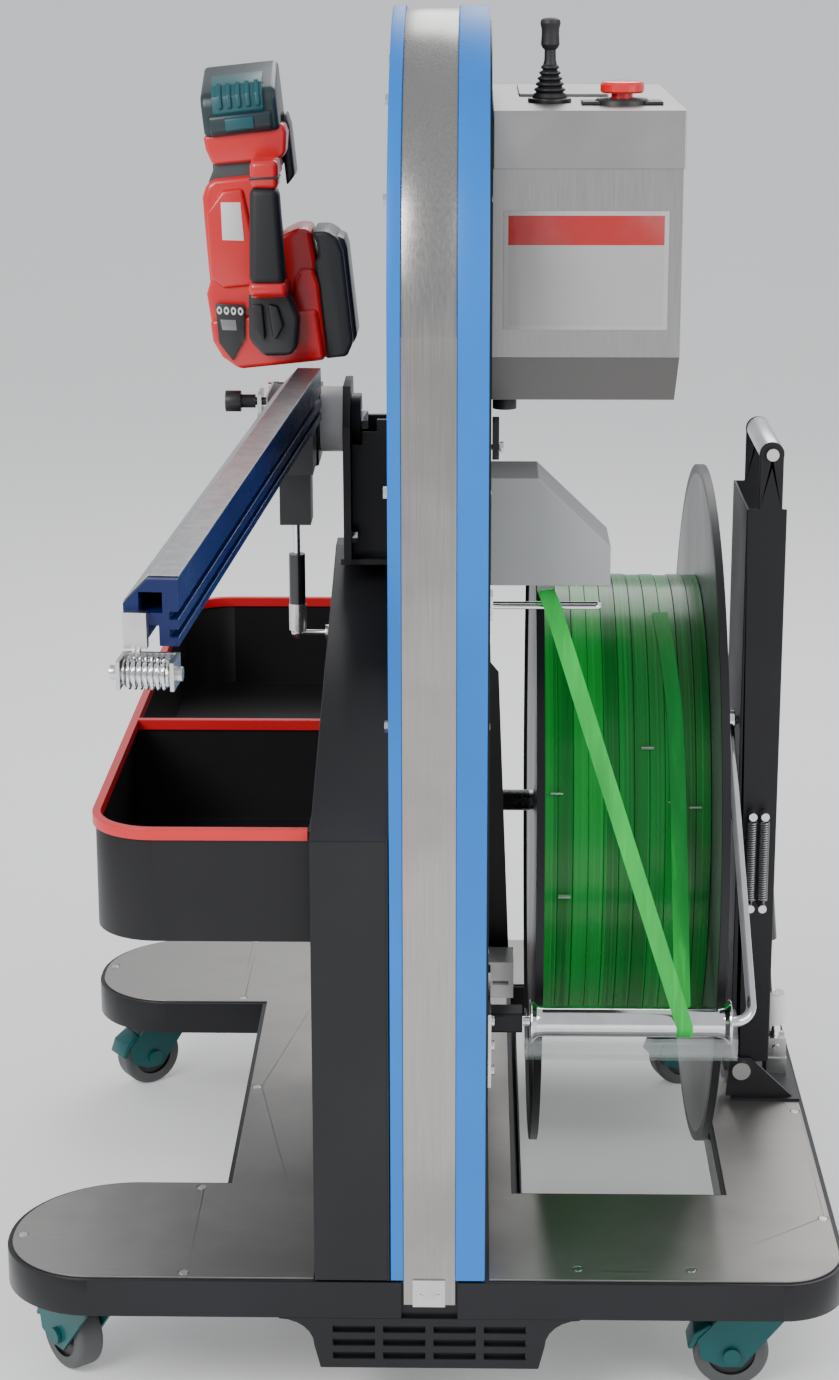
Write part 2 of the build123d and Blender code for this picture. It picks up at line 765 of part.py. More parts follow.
joystick_x = 115.0
joystick_y = -262.0
joystick_bezel_radius = 20.0
joystick_top = box_top + 76
joystick_pivot_z = box_top + 6
switch_x = 180.0
switch_y = -290.0


def lid_plate():
    """The bare plate screwed on the lid behind the lever."""
    return block(88, 173, -180, -30, box_top, box_top + 3)


def joystick_bezel():
    """The round bezel under the lever's boot."""
    ring = rod_z(joystick_x, joystick_y, box_top, box_top + 4, joystick_bezel_radius)
    return ring - rod_z(joystick_x, joystick_y, box_top - 1, box_top + 5, 14)


def joystick_lever():
    """The lever with its tapered boot and its knob."""
    low = joystick_pivot_z + 3
    stick = rod_z(joystick_x, joystick_y, joystick_pivot_z - 12, joystick_top - 10, 4)
    boot = Pos(joystick_x, joystick_y, low + 15) * Cone(15, 7, 30)
    knob = rod_z(joystick_x, joystick_y, joystick_top - 24, joystick_top, 9.5)
    knob = fillet(knob.edges().filter_by(GeomType.CIRCLE), 3)
    return stick + boot + knob


def switch_base():
    """The black collar of the stop switch."""
    ring = rod_z(switch_x, switch_y, box_top, box_top + 5, 22)
    return ring - rod_z(switch_x, switch_y, box_top - 1, box_top + 6, 10.5)


def switch_button():
    """The red mushroom button on its plunger."""
    cap = rod_z(switch_x, switch_y, box_top + 10, box_top + 21, 20)
    cap = fillet(cap.edges().filter_by(GeomType.CIRCLE), 3.5)
    return cap + rod_z(switch_x, switch_y, box_top - 14, box_top + 12, 10)


def lid_thumbscrews():
    """Side screws of the lid."""
    x = box_x[1] + lid_sheet
    screws = []
    for y in (-250.0, -90.0):
        screws.append(rod_x(x, x + 6, y, box_lid_fold + 6, 5))
    return group(screws)


def box_foot():
    """The rubber foot under the box's front corner."""
    return rod_z(box_x[0] + 12, box_y[0] + 22, box_bottom - 11, box_bottom, 11)


# ---- strap path on the loop's right side ----
def strap_cover():
    """The folded sheet hood over the strap inlet, open below and at the back."""
    y0, y1 = strap_cover_y
    points = [(side_plate_x[1], strap_cover_bottom), (side_plate_x[1], strap_cover_top),
              (strap_cover_flat_right, strap_cover_top), (strap_cover_right, strap_cover_slope_z),
              (strap_cover_right, strap_cover_bottom)]
    hood = front_outline(points, y0, y1)
    inner = [(side_plate_x[1] - 1, strap_cover_bottom - 1), (side_plate_x[1] - 1, strap_cover_top - sheet),
             (strap_cover_flat_right - 1, strap_cover_top - sheet), (strap_cover_right - sheet, strap_cover_slope_z - 1),
             (strap_cover_right - sheet, strap_cover_bottom - 1)]
    return hood - front_outline(inner, y0 + sheet, y1 + 1)


hairpin_x = (side_plate_x[1], 160.0)
hairpin_y = -340.0
hairpin_z = 788.0


def strap_guide_rod():
    """The hairpin wire that the strap slides over on its way in."""
    x0, x1 = hairpin_x
    z = hairpin_z
    y = hairpin_y
    wire = rod_x(x0, x1, y - 5, z, 2.5) + rod_x(x0, x1, y + 5, z, 2.5)
    end = Pos(x1, y, z) * Torus(5, 2.5)
    end &= block(x1, x1 + 10, y - 10, y + 10, z - 5, z + 5)
    return wire + end + block(x0, x0 + 3, y - 14, y + 14, z - 12, z + 12)


def latch_lever():
    """The small black catch on the loop's side."""
    x = side_plate_x[1]
    lever = block(x + 1, x + 7, -436, -424, 944, 982)
    lever = fillet(lever.edges().filter_by(Axis.X), 4)
    return lever - rod_x(x, x + 10, -430, 955, 2.5 + running_gap)


def latch_screw():
    """The pivot screw of the catch."""
    x = side_plate_x[1]
    return rod_x(x, x + 8, -430, 955, 2.5) + hexagon_x(x + 7.4, x + 11, -430, 955, 9)


def reel_guard():
    """The dark tapering sheet between the loop and the reel."""
    x = side_plate_x[1]
    guard = front_outline([(x, 372), (x + 22, 386), (x + 10, 688), (x, 700)], -212, -210)
    guard += block(x, x + 2, -212, -150, 372, 700)
    return guard


def guide_block():
    """The white plastic strap guide block, with a slot for the strap."""
    x = side_plate_x[1]
    block_solid = block(x, x + 26, -272, -228, 366, 404)
    return block_solid - block(x + 5, x + 21, -273, -227, 380, 384)


def dancer_rest():
    """The black bar that the dancer rod's free end parks against."""
    x = side_plate_x[1]
    bar = block(x, dancer_rod_end_x - 1.0, -344, -316, dancer_corner[2] - 10, dancer_corner[2] + 10)
    return fillet(bar.edges().filter_by(Axis.X), 3)


def hinge_plates():
    """Zinc plates and screws that fix the strap parts to the loop's side."""
    x = side_plate_x[1]
    plates = [block(x, x + 3, -434, -404, 340, 414)]
    for z in (352.0, 377.0, 402.0):
        plates.append(rod_x(x + 3, x + 6, -419, z, 5))
    plates.append(block(x, x + 3, -300, -278, 366, 404))
    return group(plates)


# ---- reel ----
def flange(x_disc, rim_x0, rim_x1):
    """A thin steel side disc with a folded rim and a bore for the spindle."""
    disc = rod_x(x_disc, x_disc + flange_thickness, reel_y, spindle_z, flange_radius)
    rim = rod_x(rim_x0, rim_x1, reel_y, spindle_z, flange_radius) - rod_x(rim_x0 - 1, rim_x1 + 1, reel_y, spindle_z,
                                                                    flange_radius - 4)
    disc += rim
    return disc - rod_x(rim_x0 - 20, rim_x1 + 20, reel_y, spindle_z, spindle_radius + running_gap)


def inner_flange():
    """The side disc towards the loop."""
    x = coil_x[0] - flange_thickness
    return flange(x, x + flange_thickness - flange_rim_width, x + flange_thickness)


def outer_flange():
    """The side disc towards the arm."""
    x = coil_x[1]
    return flange(x, x, x + flange_rim_width)


def reel_hub():
    """The drum that the strap's core slides onto, with its bearing tube and spiders."""
    x0, x1 = coil_x
    drum = rod_x(x0, x1, reel_y, spindle_z, core_radius - 0.5) - rod_x(x0 - 1, x1 + 1, reel_y, spindle_z, core_radius - 5)
    drum += rod_x(x0, x1, reel_y, spindle_z, spindle_radius + 8)
    for x in (x0 + 10, x1 - 16):
        spider = rod_x(x, x + 6, reel_y, spindle_z, core_radius - 3)
        for k in range(6):
            angle = math.radians(60 * k + 30)
            spider -= rod_x(x - 1, x + 7, reel_y + 110 * math.cos(angle), spindle_z + 110 * math.sin(angle), 42)
        drum += spider
    return drum - rod_x(x0 - 2, x1 + 2, reel_y, spindle_z, spindle_radius + running_gap)


def strap_coil():
    """The wound strap as one closed ring."""
    x0, x1 = coil_x
    ring = rod_x(x0 + 0.5, x1 - 0.5, reel_y, spindle_z, coil_radius)
    return ring - rod_x(x0 - 1, x1 + 1, reel_y, spindle_z, core_radius)


def spindle():
    """The threaded shaft, fixed in the arm, that the reel turns on."""
    shaft = rod_x(spindle_left, arm_x[0], reel_y, spindle_z, spindle_radius)
    shaft += rod_x(coil_x[1] + flange_thickness + 1, arm_x[0], reel_y, spindle_z, spindle_radius + 9)
    return shaft


# ---- reel arm ----
def coil_arm():
    """The deep channel arm, open outwards, that tips the reel down for loading."""
    x0, x1 = arm_x
    y0, y1 = arm_y
    arm = block(x0, x1, y0, y1, arm_bottom, arm_top)
    arm -= block(x0 + arm_wall, x1 + 1, y0 + arm_wall, y1 - arm_wall, arm_bottom - 1, arm_top + 1)
    for y in (y0, y1 - arm_wall):
        cheek = front_outline([(handle_x - 13, arm_top - 20), (handle_x + 12, arm_top - 20),
                               (handle_x + 12, handle_z), (handle_x - 13, handle_z)], y, y + arm_wall)
        arm += cheek
        arm += rod_y(handle_x - 0.5, y, y + arm_wall, handle_z, 13)
        arm -= rod_y(handle_x, y - 1, y + arm_wall + 1, handle_z, 4)
        arm -= rod_y(arm_pivot_x, y - 1, y + arm_wall + 1, arm_pivot_z, arm_pin_radius + running_gap)
    arm -= block(arm_pivot_x + 14, x1 + 1, y0 - 1, y1 + 1, arm_bottom - 1, arm_pivot_z + 8)
    arm -= block(x0 - 1, x0 + arm_wall + 1, damper_y - 17, damper_y + 17, arm_pivot_z + 12, arm_pivot_z + 114)
    return arm


def handle_tube():
    """The bare aluminium grip tube across the arm's top."""
    y0, y1 = arm_y
    return rod_y(handle_x, y0 + arm_wall, y1 - arm_wall, handle_z, handle_radius)


def handle_bolts():
    """The screws that close the grip tube's ends."""
    bolts = []
    for y, side in ((arm_y[0], -1), (arm_y[1], 1)):
        bolt = rod_y(handle_x, y - side * arm_wall, y, handle_z, 4 - 0.05)
        bolt += rod_y(handle_x, y, y + side * 4, handle_z, 6.5)
        bolts.append(bolt)
    return group(bolts)


def pivot_bracket():
    """Two three-cornered ears on a foot plate, outside the arm's walls."""
    y0, y1 = arm_y
    foot = block(334, deck_width / 2 - 4, y0 - 12, y1 + 12, deck_top, deck_top + 3)
    bracket = foot
    for y in (y0 - 1 - 4, y1 + 1):
        points = [(arm_pivot_x - 16, deck_top + 3), (400, deck_top + 3), (arm_pivot_x + 10, arm_pivot_z + 14),
                  (arm_pivot_x - 12, arm_pivot_z + 14)]
        bracket += front_outline(points, y, y + 4)
        bracket -= rod_y(arm_pivot_x, y - 1, y + 5, arm_pivot_z, arm_pin_radius + running_gap)
    return bracket


def pivot_pin():
    """The bolt that the arm swings on."""
    y0 = arm_y[0] - 5
    y1 = arm_y[1] + 5
    pin = rod_y(arm_pivot_x, y0, y1, arm_pivot_z, arm_pin_radius)
    pin += rod_y(arm_pivot_x, y0 - 5, y0, arm_pivot_z, 10)
    return pin + rod_y(arm_pivot_x, y1, y1 + 5, arm_pivot_z, 10)


def arm_strip():
    """The light folded strip on the arm's foot that steadies the reel's outer disc."""
    x1 = arm_x[0]
    low = arm_bottom + 1
    points = [(x1 - 27, 232), (x1 - 23, 232), (x1 - 8, low + 4), (x1, low + 4), (x1, low), (x1 - 11, low)]
    return front_outline(points, arm_y[0], arm_y[0] + 24)


# ---- dancer ----
def dancer_route():
    """Corners of the bent rod: pivot end, lower corner, free end."""
    x, y, z = dancer_corner
    return [(x, dancer_pivot_y, dancer_pivot_z), (x, y, z), (dancer_rod_end_x, y, z)]


def dancer_arm():
    """The bent chrome rod with its pivot eye and spring pin."""
    path = FilletPolyline(*dancer_route(), radius=dancer_bend_radius)
    start = path.position_at(0)
    profile = Plane(start, z_dir=path.tangent_at(0)) * Circle(dancer_rod_radius)
    rod = sweep(profile, path=path)
    x = dancer_corner[0]
    eye = rod_x(x - 6, x + 6, dancer_pivot_y, dancer_pivot_z, 11)
    rod += eye
    rod -= rod_x(x - 10, x + 10, dancer_pivot_y, dancer_pivot_z, 5 + running_gap)
    return rod


def dancer_pin():
    """The shouldered pin on the arm that the dancer swings on."""
    x = dancer_corner[0]
    pin = rod_x(x - 7, arm_x[0], dancer_pivot_y, dancer_pivot_z, 5)
    return pin + rod_x(x - 11, x - 7, dancer_pivot_y, dancer_pivot_z, 8)


def dancer_roller():
    """The flared chrome roller on the rod's level length."""
    x0, x1 = roller_x
    y, z = dancer_corner[1], dancer_corner[2]
    roller = rod_x(x0, x1, y, z, roller_radius)
    for x, side in ((x0, 1), (x1, -1)):
        flare = Pos(x + side * 7, y, z) * Rot(0, 90 * side, 0) * Cone(roller_flare_radius, roller_radius, 14)
        roller += flare
    return roller - rod_x(x0 - 1, x1 + 1, y, z, dancer_rod_radius + running_gap)


def dancer_springs():
    """Two extension springs as closed tubes, from the dancer to the arm."""
    springs = []
    z0, z1 = spring_z
    for x in spring_x:
        springs.append(rod_z(x, spring_y, z0 + 5, z1 - 5, 6) - rod_z(x, spring_y, z0, z1, 4))
    return group(springs)


def spring_hooks():
    """The pins on the arm that hold the springs' ends."""
    hooks = []
    for z in spring_z:
        for x in spring_x:
            hooks.append(rod_y(x, spring_y - 8, arm_y[0], z, 4.4))
    return group(hooks)


def roller_guard():
    """The clear lip under the roller, hung on the rod by two cheeks."""
    x0, x1 = roller_x
    y, z = dancer_corner[1], dancer_corner[2]
    lip = block(x0 - 5, x1 + 5, y - 27, y - 24, z - 32, z - 8)
    lip += block(x0 - 5, x1 + 5, y - 27, y + 18, z - 32, z - 29)
    for x in (x0 - 5, x1 + 2):
        cheek = block(x, x + 3, y - 27, y + 18, z - 32, z + 10)
        lip += cheek
    return lip - rod_x(x0 - 10, x1 + 10, y, z, dancer_rod_radius)


strap_width = 16.0
strap_thickness = 0.8


def strap_run():
    """The two free stretches of strap: coil to roller, and roller to the hairpin guide."""
    y, z = dancer_corner[1], dancer_corner[2]
    x = roller_x[1] - 40
    reach = roller_radius + strap_thickness
    foot = (x, y - reach, z)
    tip = (hairpin_x[0] + 60, y - reach, hairpin_z - 14)
    middle = tuple((a + b) / 2 for a, b in zip(foot, tip))
    lean = math.degrees(math.atan2(tip[0] - foot[0], tip[2] - foot[2]))
    up = Pos(*middle) * Rot(0, lean, 0) * Box(strap_width, strap_thickness, math.dist(foot, tip))
    across = (reel_y - y, spindle_z - z)
    span = math.hypot(*across)
    offset = coil_radius + 1 + reach
    length = math.sqrt(span ** 2 - offset ** 2)
    angle = math.atan2(across[1], across[0]) + math.asin(offset / span)
    start = (y + reach * math.sin(angle), z - reach * math.cos(angle))
    back = Box(strap_width, length - 6, strap_thickness)
    back = Rot(math.degrees(angle), 0, 0) * back
    back = Pos(x, start[0] + math.cos(angle) * length / 2, start[1] + math.sin(angle) * length / 2) * back
    return group([up, back])


# ---- reel arm damper ----
damper_top_z = damper_tube_z[1] + 14


def damper_tilt():
    """The damper's lean about its foot pin."""
    return Pos(damper_x, 0, damper_pivot_z) * Rot(0, damper_lean, 0) * Pos(-damper_x, 0, -damper_pivot_z)


def damper_base():
    """The steel clevis block that carries the damper's foot."""
    x, y = damper_x, damper_y
    base = block(x - 12, x + 12, y - 14, y + 14, deck_top + 3, deck_top + 22)
    for side in (-1, 1):
        base += block(x - 11, x + 11, y + side * 9 - 3, y + side * 9 + 3, deck_top + 20, damper_pivot_z + 11)
    return base - rod_y(x, y - 20, y + 20, damper_pivot_z, 4)


def damper_foot_pin():
    """The cross pin of the damper's foot."""
    return rod_y(damper_x, damper_y - 15, damper_y + 15, damper_pivot_z, 4)


def damper_rod():
    """The piston rod with its eye."""
    x, y = damper_x, damper_y
    eye = rod_y(x, y - 5.5, y + 5.5, damper_pivot_z, 9)
    eye -= rod_y(x, y - 8, y + 8, damper_pivot_z, 4 + running_gap)
    rod = rod_z(x, y, damper_pivot_z + 8, damper_tube_z[0] + 110, damper_rod_radius)
    return damper_tilt() * (eye + rod + rod_z(x, y, damper_pivot_z + 16, damper_pivot_z + 26, 7))


def damper_sleeve():
    """The white plastic stop sleeve on the rod."""
    z0 = damper_pivot_z + 27
    z1 = z0 + damper_stop_length
    ring = rod_z(damper_x, damper_y, z0, z1, 14)
    return damper_tilt() * (ring - rod_z(damper_x, damper_y, z0 - 1, z1 + 1, damper_rod_radius))


def damper_tube():
    """The black pressure tube with its top eye."""
    x, y = damper_x, damper_y
    z0, z1 = damper_tube_z
    tube = rod_z(x, y, z0, z1, damper_tube_radius)
    tube -= rod_z(x, y, z0 - 1, z0 + 185, damper_rod_radius + running_gap)
    tube += block(x - 4, x + 4, y - 4, y + 4, z1 - 2, z1 + 8)
    return damper_tilt() * tube


# ---- tool arm ----
def rail_frame():
    """Where the rail's own axes sit on the machine."""
    return Pos(*rail_origin) * Rot(0, 0, rail_yaw) * Rot(rail_tilt, 0, 0)


def rail_section():
    """The rail's outline with its bevelled top-left corner, in the rail's own axes."""
    half = rail_half_width
    return [(-half, -rail_height), (half, -rail_height), (half, 0), (-half + rail_chamfer, 0), (-half, -rail_chamfer)]


def tool_rail():
    """The slotted aluminium rail, reaching out towards the operator."""
    y0 = rail_far_y - rail_length
    rail = front_outline(rail_section(), y0, rail_far_y)
    half = rail_half_width
    for z in (-28.0, -42.0):
        for side in (-1, 1):
            rail -= block(side * half, side * (half - 7), y0 - 1, rail_far_y + 1, z - 3, z + 3)
    rail -= block(-6, 6, y0 - 1, rail_far_y + 1, -rail_height - 1, -rail_height + 16)
    rail -= block(-9, 9, y0 - 1, rail_far_y + 1, -26, -10)
    return rail_frame() * rail


def rail_cover():
    """The folded galvanised strip along the rail's top and bevel."""
    half = rail_half_width
    t = rail_cover_thickness
    y0 = rail_far_y - rail_length + 8
    points = [(half, 0), (half, t), (-half + rail_chamfer - 0.7, t), (-half - t, -rail_chamfer - 0.5),
              (-half - t, -rail_chamfer - 6), (-half, -rail_chamfer - 6), (-half, -rail_chamfer),
              (-half + rail_chamfer, 0)]
    return rail_frame() * front_outline(points, y0, rail_far_y)


def arm_head():
    """The black pivot head under the rail's far end, with the strut's socket."""
    x0, x1 = head_x
    y0, y1 = head_y
    top = head_z[1] - clear
    head = rounded(block(x0, x1, y0, y1, head_z[0], top), 8)
    for x in (x0, x1 - cradle_ear):
        head += block(x, x + cradle_ear, y1 - 12, y1 + 15, top - 14, top)
    head += rod_x(x1 - 1, nylon_x[0], tool_pivot_y, tool_pivot_z, nylon_radius)
    head -= rod_x(x1 - 20, nylon_x[0] + 1, tool_pivot_y, tool_pivot_z, pivot_bore)
    head -= rod_x(x0 - 1, x0 + 12, plunger_y, plunger_z, 4.3)
    head -= rod_x(x0 - 1, x1 + 1, *cradle_hinge, 3)
    socket = block(strut_x - 16, strut_x + 16, -72, -30, strut_socket_z[0], strut_socket_z[1] + 6)
    socket -= block(strut_x - 10, strut_x + 10, -67, -35, strut_socket_z[0] - 1, strut_socket_z[1])
    head += socket
    return head


def rail_clamp():
    """The plate that bolts the rail's far end to the head."""
    plate = rail_frame() * block(-23.5, -21.05, rail_far_y - 44, rail_far_y - 4, -rail_height, -rail_chamfer - 12)
    bolts = [plate]
    for y in (-34.0, -16.0):
        bolts.append(rail_frame() * rod_x(-29, -23.5, rail_far_y + y, -40, 5.5))
    return group(bolts)


def rail_shoe():
    """The bar under the rail that ties it to the head."""
    x0 = head_x[0] + 6
    x1 = head_x[1] - 2
    top = rail_origin[2] - rail_height - 4.6
    return block(x0, x1, -110, head_y[0], head_z[0] + 4, top)


def nylon_ring():
    """The white thrust ring between the head and the bracket."""
    ring = rod_x(nylon_x[0], nylon_x[1] + 0.7, tool_pivot_y, tool_pivot_z, nylon_radius)
    return ring - rod_x(nylon_x[0] - 1, nylon_x[1] + 2, tool_pivot_y, tool_pivot_z, pivot_bore)


def plunger_bracket():
    """The zinc angle that carries the index plunger."""
    x = head_x[0]
    plate = block(x - 10, x, -30, 30, plunger_z - 16, plunger_z - 12)
    plate += block(x - 10, x - 6, -22, 22, plunger_z - 16, plunger_z + 9)
    return plate - rod_x(x - 12, x - 4, plunger_y, plunger_z, 4 + running_gap)


def index_plunger():
    """The spring plunger with its black pull knob."""
    x = head_x[0]
    pin = rod_x(x - 34, x + 9, plunger_y, plunger_z, 4)
    knob = rod_x(x - 32, x - 13, plunger_y, plunger_z, 7)
    return pin + knob + rod_x(x - 44, x - 28, plunger_y, plunger_z, 11)


def end_stop():
    """The block, stud and zinc fork at the rail's near end."""
    y0 = rail_far_y - rail_length
    body = block(-20, -2, y0 - 8, y0, -52, -24)
    body += block(-14, -8, y0 - 7, y0 - 1, -78, -50)
    for x in (-22.0, 19.0):
        body += block(x, x + 3, y0 - 30, y0 - 1, -78, -56)
    body += block(-22, 22, y0 - 4, y0 - 1, -78, -56)
    body -= rod_x(-40, 40, y0 - 20, -67, 3)
    return rail_frame() * body


def stop_roller():
    """The ringed black roller in the end fork."""
    y0 = rail_far_y - rail_length
    roller = rod_x(-18.5, 18.5, y0 - 20, -67, 13)
    for k in range(5):
        x = -14 + 6.5 * k
        roller -= rod_x(x, x + 2, y0 - 20, -67, 20) - rod_x(x, x + 2, y0 - 20, -67, 11.5)
    return rail_frame() * (roller - rod_x(-30, 30, y0 - 20, -67, 3 + running_gap))


def roller_pin():
    """The bolt through the end fork."""
    y0 = rail_far_y - rail_length
    pin = rod_x(-24, 24, y0 - 20, -67, 3)
    pin += rod_x(-28, -22, y0 - 20, -67, 5.5)
    return rail_frame() * (pin + rod_x(22, 27, y0 - 20, -67, 5.5))


# ---- tool arm strut ----
def strut_stud():
    """The zinc ball stud on the tower's left side."""
    x = tower_x[0]
    stud = Pos(strut_x, strut_ball_y, strut_ball_z) * Rot(0, 90, 0) * Sphere(7)
    stud += rod_x(strut_x, x, strut_ball_y, strut_ball_z, 2.7)
    return stud + rod_x(x - 5, x, strut_ball_y, strut_ball_z, 8)


def strut_tube():
    """The strut's black tube with its zinc socket below."""
    z0 = strut_ball_z
    socket = rod_z(strut_x, strut_ball_y, z0 + 3, z0 + 30, 9)
    socket -= Pos(strut_x, strut_ball_y, z0) * Sphere(7 + clear)
    tube = rod_z(strut_x, strut_ball_y, z0 + 28, z0 + 28 + strut_tube_length - 28, strut_tube_radius)
    tube += socket
    return tube - rod_z(strut_x, strut_ball_y, z0 + 20, z0 + 200, strut_rod_radius + running_gap)


def strut_rod():
    """The strut's thin rod, running up into the head's socket."""
    return rod_z(strut_x, strut_ball_y, strut_ball_z + 34, strut_socket_z[0] + 7, strut_rod_radius)


# ---- strapping tool ----
trigger_x = ((-22.0, -3.0), (0.0, 19.0))
trigger_z = (22.0, 58.0)


def tool_frame():
    """Where the tool's own axes sit: middle of its base, leaning slightly."""
    return Pos(tool_middle_x, 0, tool_base_z) * Rot(0, tool_lean, 0)


def tool_cradle():
    """The hinged plate that the tool stands on."""
    lug_x = (head_x[0] + cradle_ear + 0.5, head_x[1] - cradle_ear - 0.5)
    plate = block(head_x[0] + 2, head_x[1] - 2, head_y[0], head_y[1] + 6, head_z[1], head_z[1] + 3)
    plate += block(*lug_x, head_y[1] + 3, tool_hinge_y, head_z[1] - 8, head_z[1] + 3)
    plate += block(tool_middle_x - 28, tool_middle_x + 28, 4, tool_hinge_y - 8, head_z[1] + 2, tool_base_z + 8.6)
    return plate - rod_x(head_x[0] - 5, head_x[1] + 5, *cradle_hinge, 3 + running_gap)


def cradle_pin():
    """The hinge pin of the tool cradle, in ears on the head."""
    return rod_x(head_x[0] - 4, head_x[1], *cradle_hinge, 3)


def tool_housing():
    """The tool's moulded red body: nose, main barrel and gearbox bulge."""
    body = rounded(block(-70, 42, -12, 88, 12, 62), 9)
    body += rounded(block(-72, 8, -4, 84, 58, 212), 9)
    body += rounded(block(0, 46, 6, 84, 20, 128), 9)
    body += rounded(block(-50, 30, -8, 78, 210, 250), 9)
    for x0, x1 in trigger_x:
        body -= block(x0 - 0.4, x1 + 0.4, -13, -7, trigger_z[0] - 0.4, trigger_z[1] + 0.4)
    return tool_frame() * body


def tool_side_cover():
    """The black gearbox cover on the tool's right side."""
    cover = block(46.3, 72, 2, 90, 14, 134)
    cover = fillet(cover.edges().filter_by(Axis.X), 14)
    return tool_frame() * cover


def tool_grip():
    """The black rubber grip bar in front of the barrel."""
    grip = block(-24, 6, -48, -18, 78, 206)
    grip = fillet(grip.edges().filter_by(Axis.Z), 10)
    grip += block(-26, 8, -50, -4.1, 196, 209.9)
    grip += block(-26, 8, -50, -4.1, 64, 84)
    return tool_frame() * grip


def tool_trigger(x0, x1):
    """One long push button on the tool's front."""
    button = block(x0, x1, -24, -11, *trigger_z)
    return tool_frame() * fillet(button.edges().filter_by(Axis.Y), 5)


def tool_display():
    """The dark display panel with four keys."""
    panel = block(-68, -34, -15, -12, 16, 60)
    return tool_frame() * panel


battery_z = (251.0, 316.0)


def tool_battery():
    """The slide-on battery pack with its latch ribs."""
    z0, z1 = battery_z
    pack = side_outline([(-12, z0), (-12, z1 - 24), (78, z1), (78, z0)], -50, 27)
    pack = fillet(pack.edges().filter_by(Axis.Z), 8)
    return tool_frame() * pack


# ---- nodes that hold several solids ----
def deck_plates():
    """Both brushed cover sheets."""
    return group([deck_plate_left(), deck_plate_right()])


def frame_fasteners():
    """All bolts, screws and small zinc plates that stay with the frame."""
    return group([deck_screws(), tie_bolts(), bracket_screws(), cover_clamp(), hinge_plates(), lid_thumbscrews(),
                  latch_screw(), strut_stud()])


def under_housing():
    """The housing, its slotted apron and the runner inside it."""
    return group([lance_housing(), front_apron(), lance_runner()])


def loop_channel():
    """The outer strip and the inner floor of the loop."""
    return group([magazine_cover(), inner_guide()])


def reel_side_plate():
    """The side plate with the reel guard, the catch, the park bar and the box mounts."""
    return group([side_plate(), reel_guard(), latch_lever(), dancer_rest(), box_foot()])


def drive_unit():
    """Gearbox with motor, controller and batteries inside the tower."""
    return group([drive_motor(), battery_pack(), drive_controller()])


def box_top_set():
    """The lid with its bare plate, the lever's bezel and the switch collar."""
    return group([control_lid(), lid_plate(), joystick_bezel(), switch_base()])


def strap_guides():
    """The hairpin wire and the white guide block."""
    return group([strap_guide_rod(), guide_block()])


def arm_foot():
    """The arm's pivot ears and the damper's clevis block with its pin."""
    return group([pivot_bracket(), damper_base(), damper_foot_pin()])


def reel_flanges():
    """Both side discs."""
    return group([inner_flange(), outer_flange()])


def arm_pins():
    """Spindle, pivot bolt, dancer pin, spring hooks and grip screws, all fixed in the arm."""
    return group([spindle(), pivot_pin(), dancer_pin(), spring_hooks(), handle_bolts(),
                  arm_strip()])


def dancer_set():
    """The bent rod and the clear lip under the roller."""
    return group([dancer_arm(), roller_guard()])


def damper_rod_set():
    """The piston rod and its stop sleeve."""
    return group([damper_rod(), damper_sleeve()])


def head_set():
    """The pivot head with the plates and the pin that are fixed to it."""
    return group([arm_head(), rail_clamp(), rail_shoe(), plunger_bracket(), cradle_pin()])


def end_stop_set():
    """The end fork with its roller bolt."""
    return group([end_stop(), roller_pin()])


def tool_covers():
    """The tool's black side cover, display panel and cradle."""
    return group([tool_side_cover(), tool_display(), tool_cradle()])


def feed_trigger():
    """The left front button: tension."""
    return tool_trigger(*trigger_x[0])


def seal_trigger():
    """The right front button: weld and cut."""
    return tool_trigger(*trigger_x[1])


PARTS = {
    "deck_frame": deck_frame,
    "deck_plates": deck_plates,
    "frame_fasteners": frame_fasteners,
    "lance_housing": under_housing,
    "caster_plates": caster_plates,
    "magazine_rim_left": magazine_rim_left,
    "magazine_rim_right": magazine_rim_right,
    "magazine_cover": loop_channel,
    "side_plate": reel_side_plate,
    "lance_chain": lance_chain,
    "lance_head": lance_head,
    "drive_sprocket": drive_sprocket,
    "drive_unit": drive_unit,
    "tower_body": tower_body,
    "tower_inner_panel": tower_inner_panel,
    "tool_bracket": tool_bracket,
    "tray": tray,
    "tray_trim": tray_trim,
    "control_box": control_box,
    "control_lid": box_top_set,
    "joystick_lever": joystick_lever,
    "switch_button": switch_button,
    "strap_cover": strap_cover,
    "strap_guides": strap_guides,
    "arm_foot": arm_foot,
    "reel_flanges": reel_flanges,
    "reel_hub": reel_hub,
    "strap_coil": strap_coil,
    "coil_arm": coil_arm,
    "arm_pins": arm_pins,
    "handle_tube": handle_tube,
    "dancer_arm": dancer_set,
    "dancer_roller": dancer_roller,
    "dancer_springs": dancer_springs,
    "strap_run": strap_run,
    "damper_rod": damper_rod_set,
    "damper_tube": damper_tube,
    "tool_rail": tool_rail,
    "rail_cover": rail_cover,
    "arm_head": head_set,
    "nylon_ring": nylon_ring,
    "index_plunger": index_plunger,
    "end_stop": end_stop_set,
    "stop_roller": stop_roller,
    "strut_tube": strut_tube,
    "strut_rod": strut_rod,
    "tool_housing": tool_housing,
    "tool_covers": tool_covers,
    "tool_grip": tool_grip,
    "tool_feed_trigger": feed_trigger,
    "tool_seal_trigger": seal_trigger,
    "tool_battery": tool_battery,
}


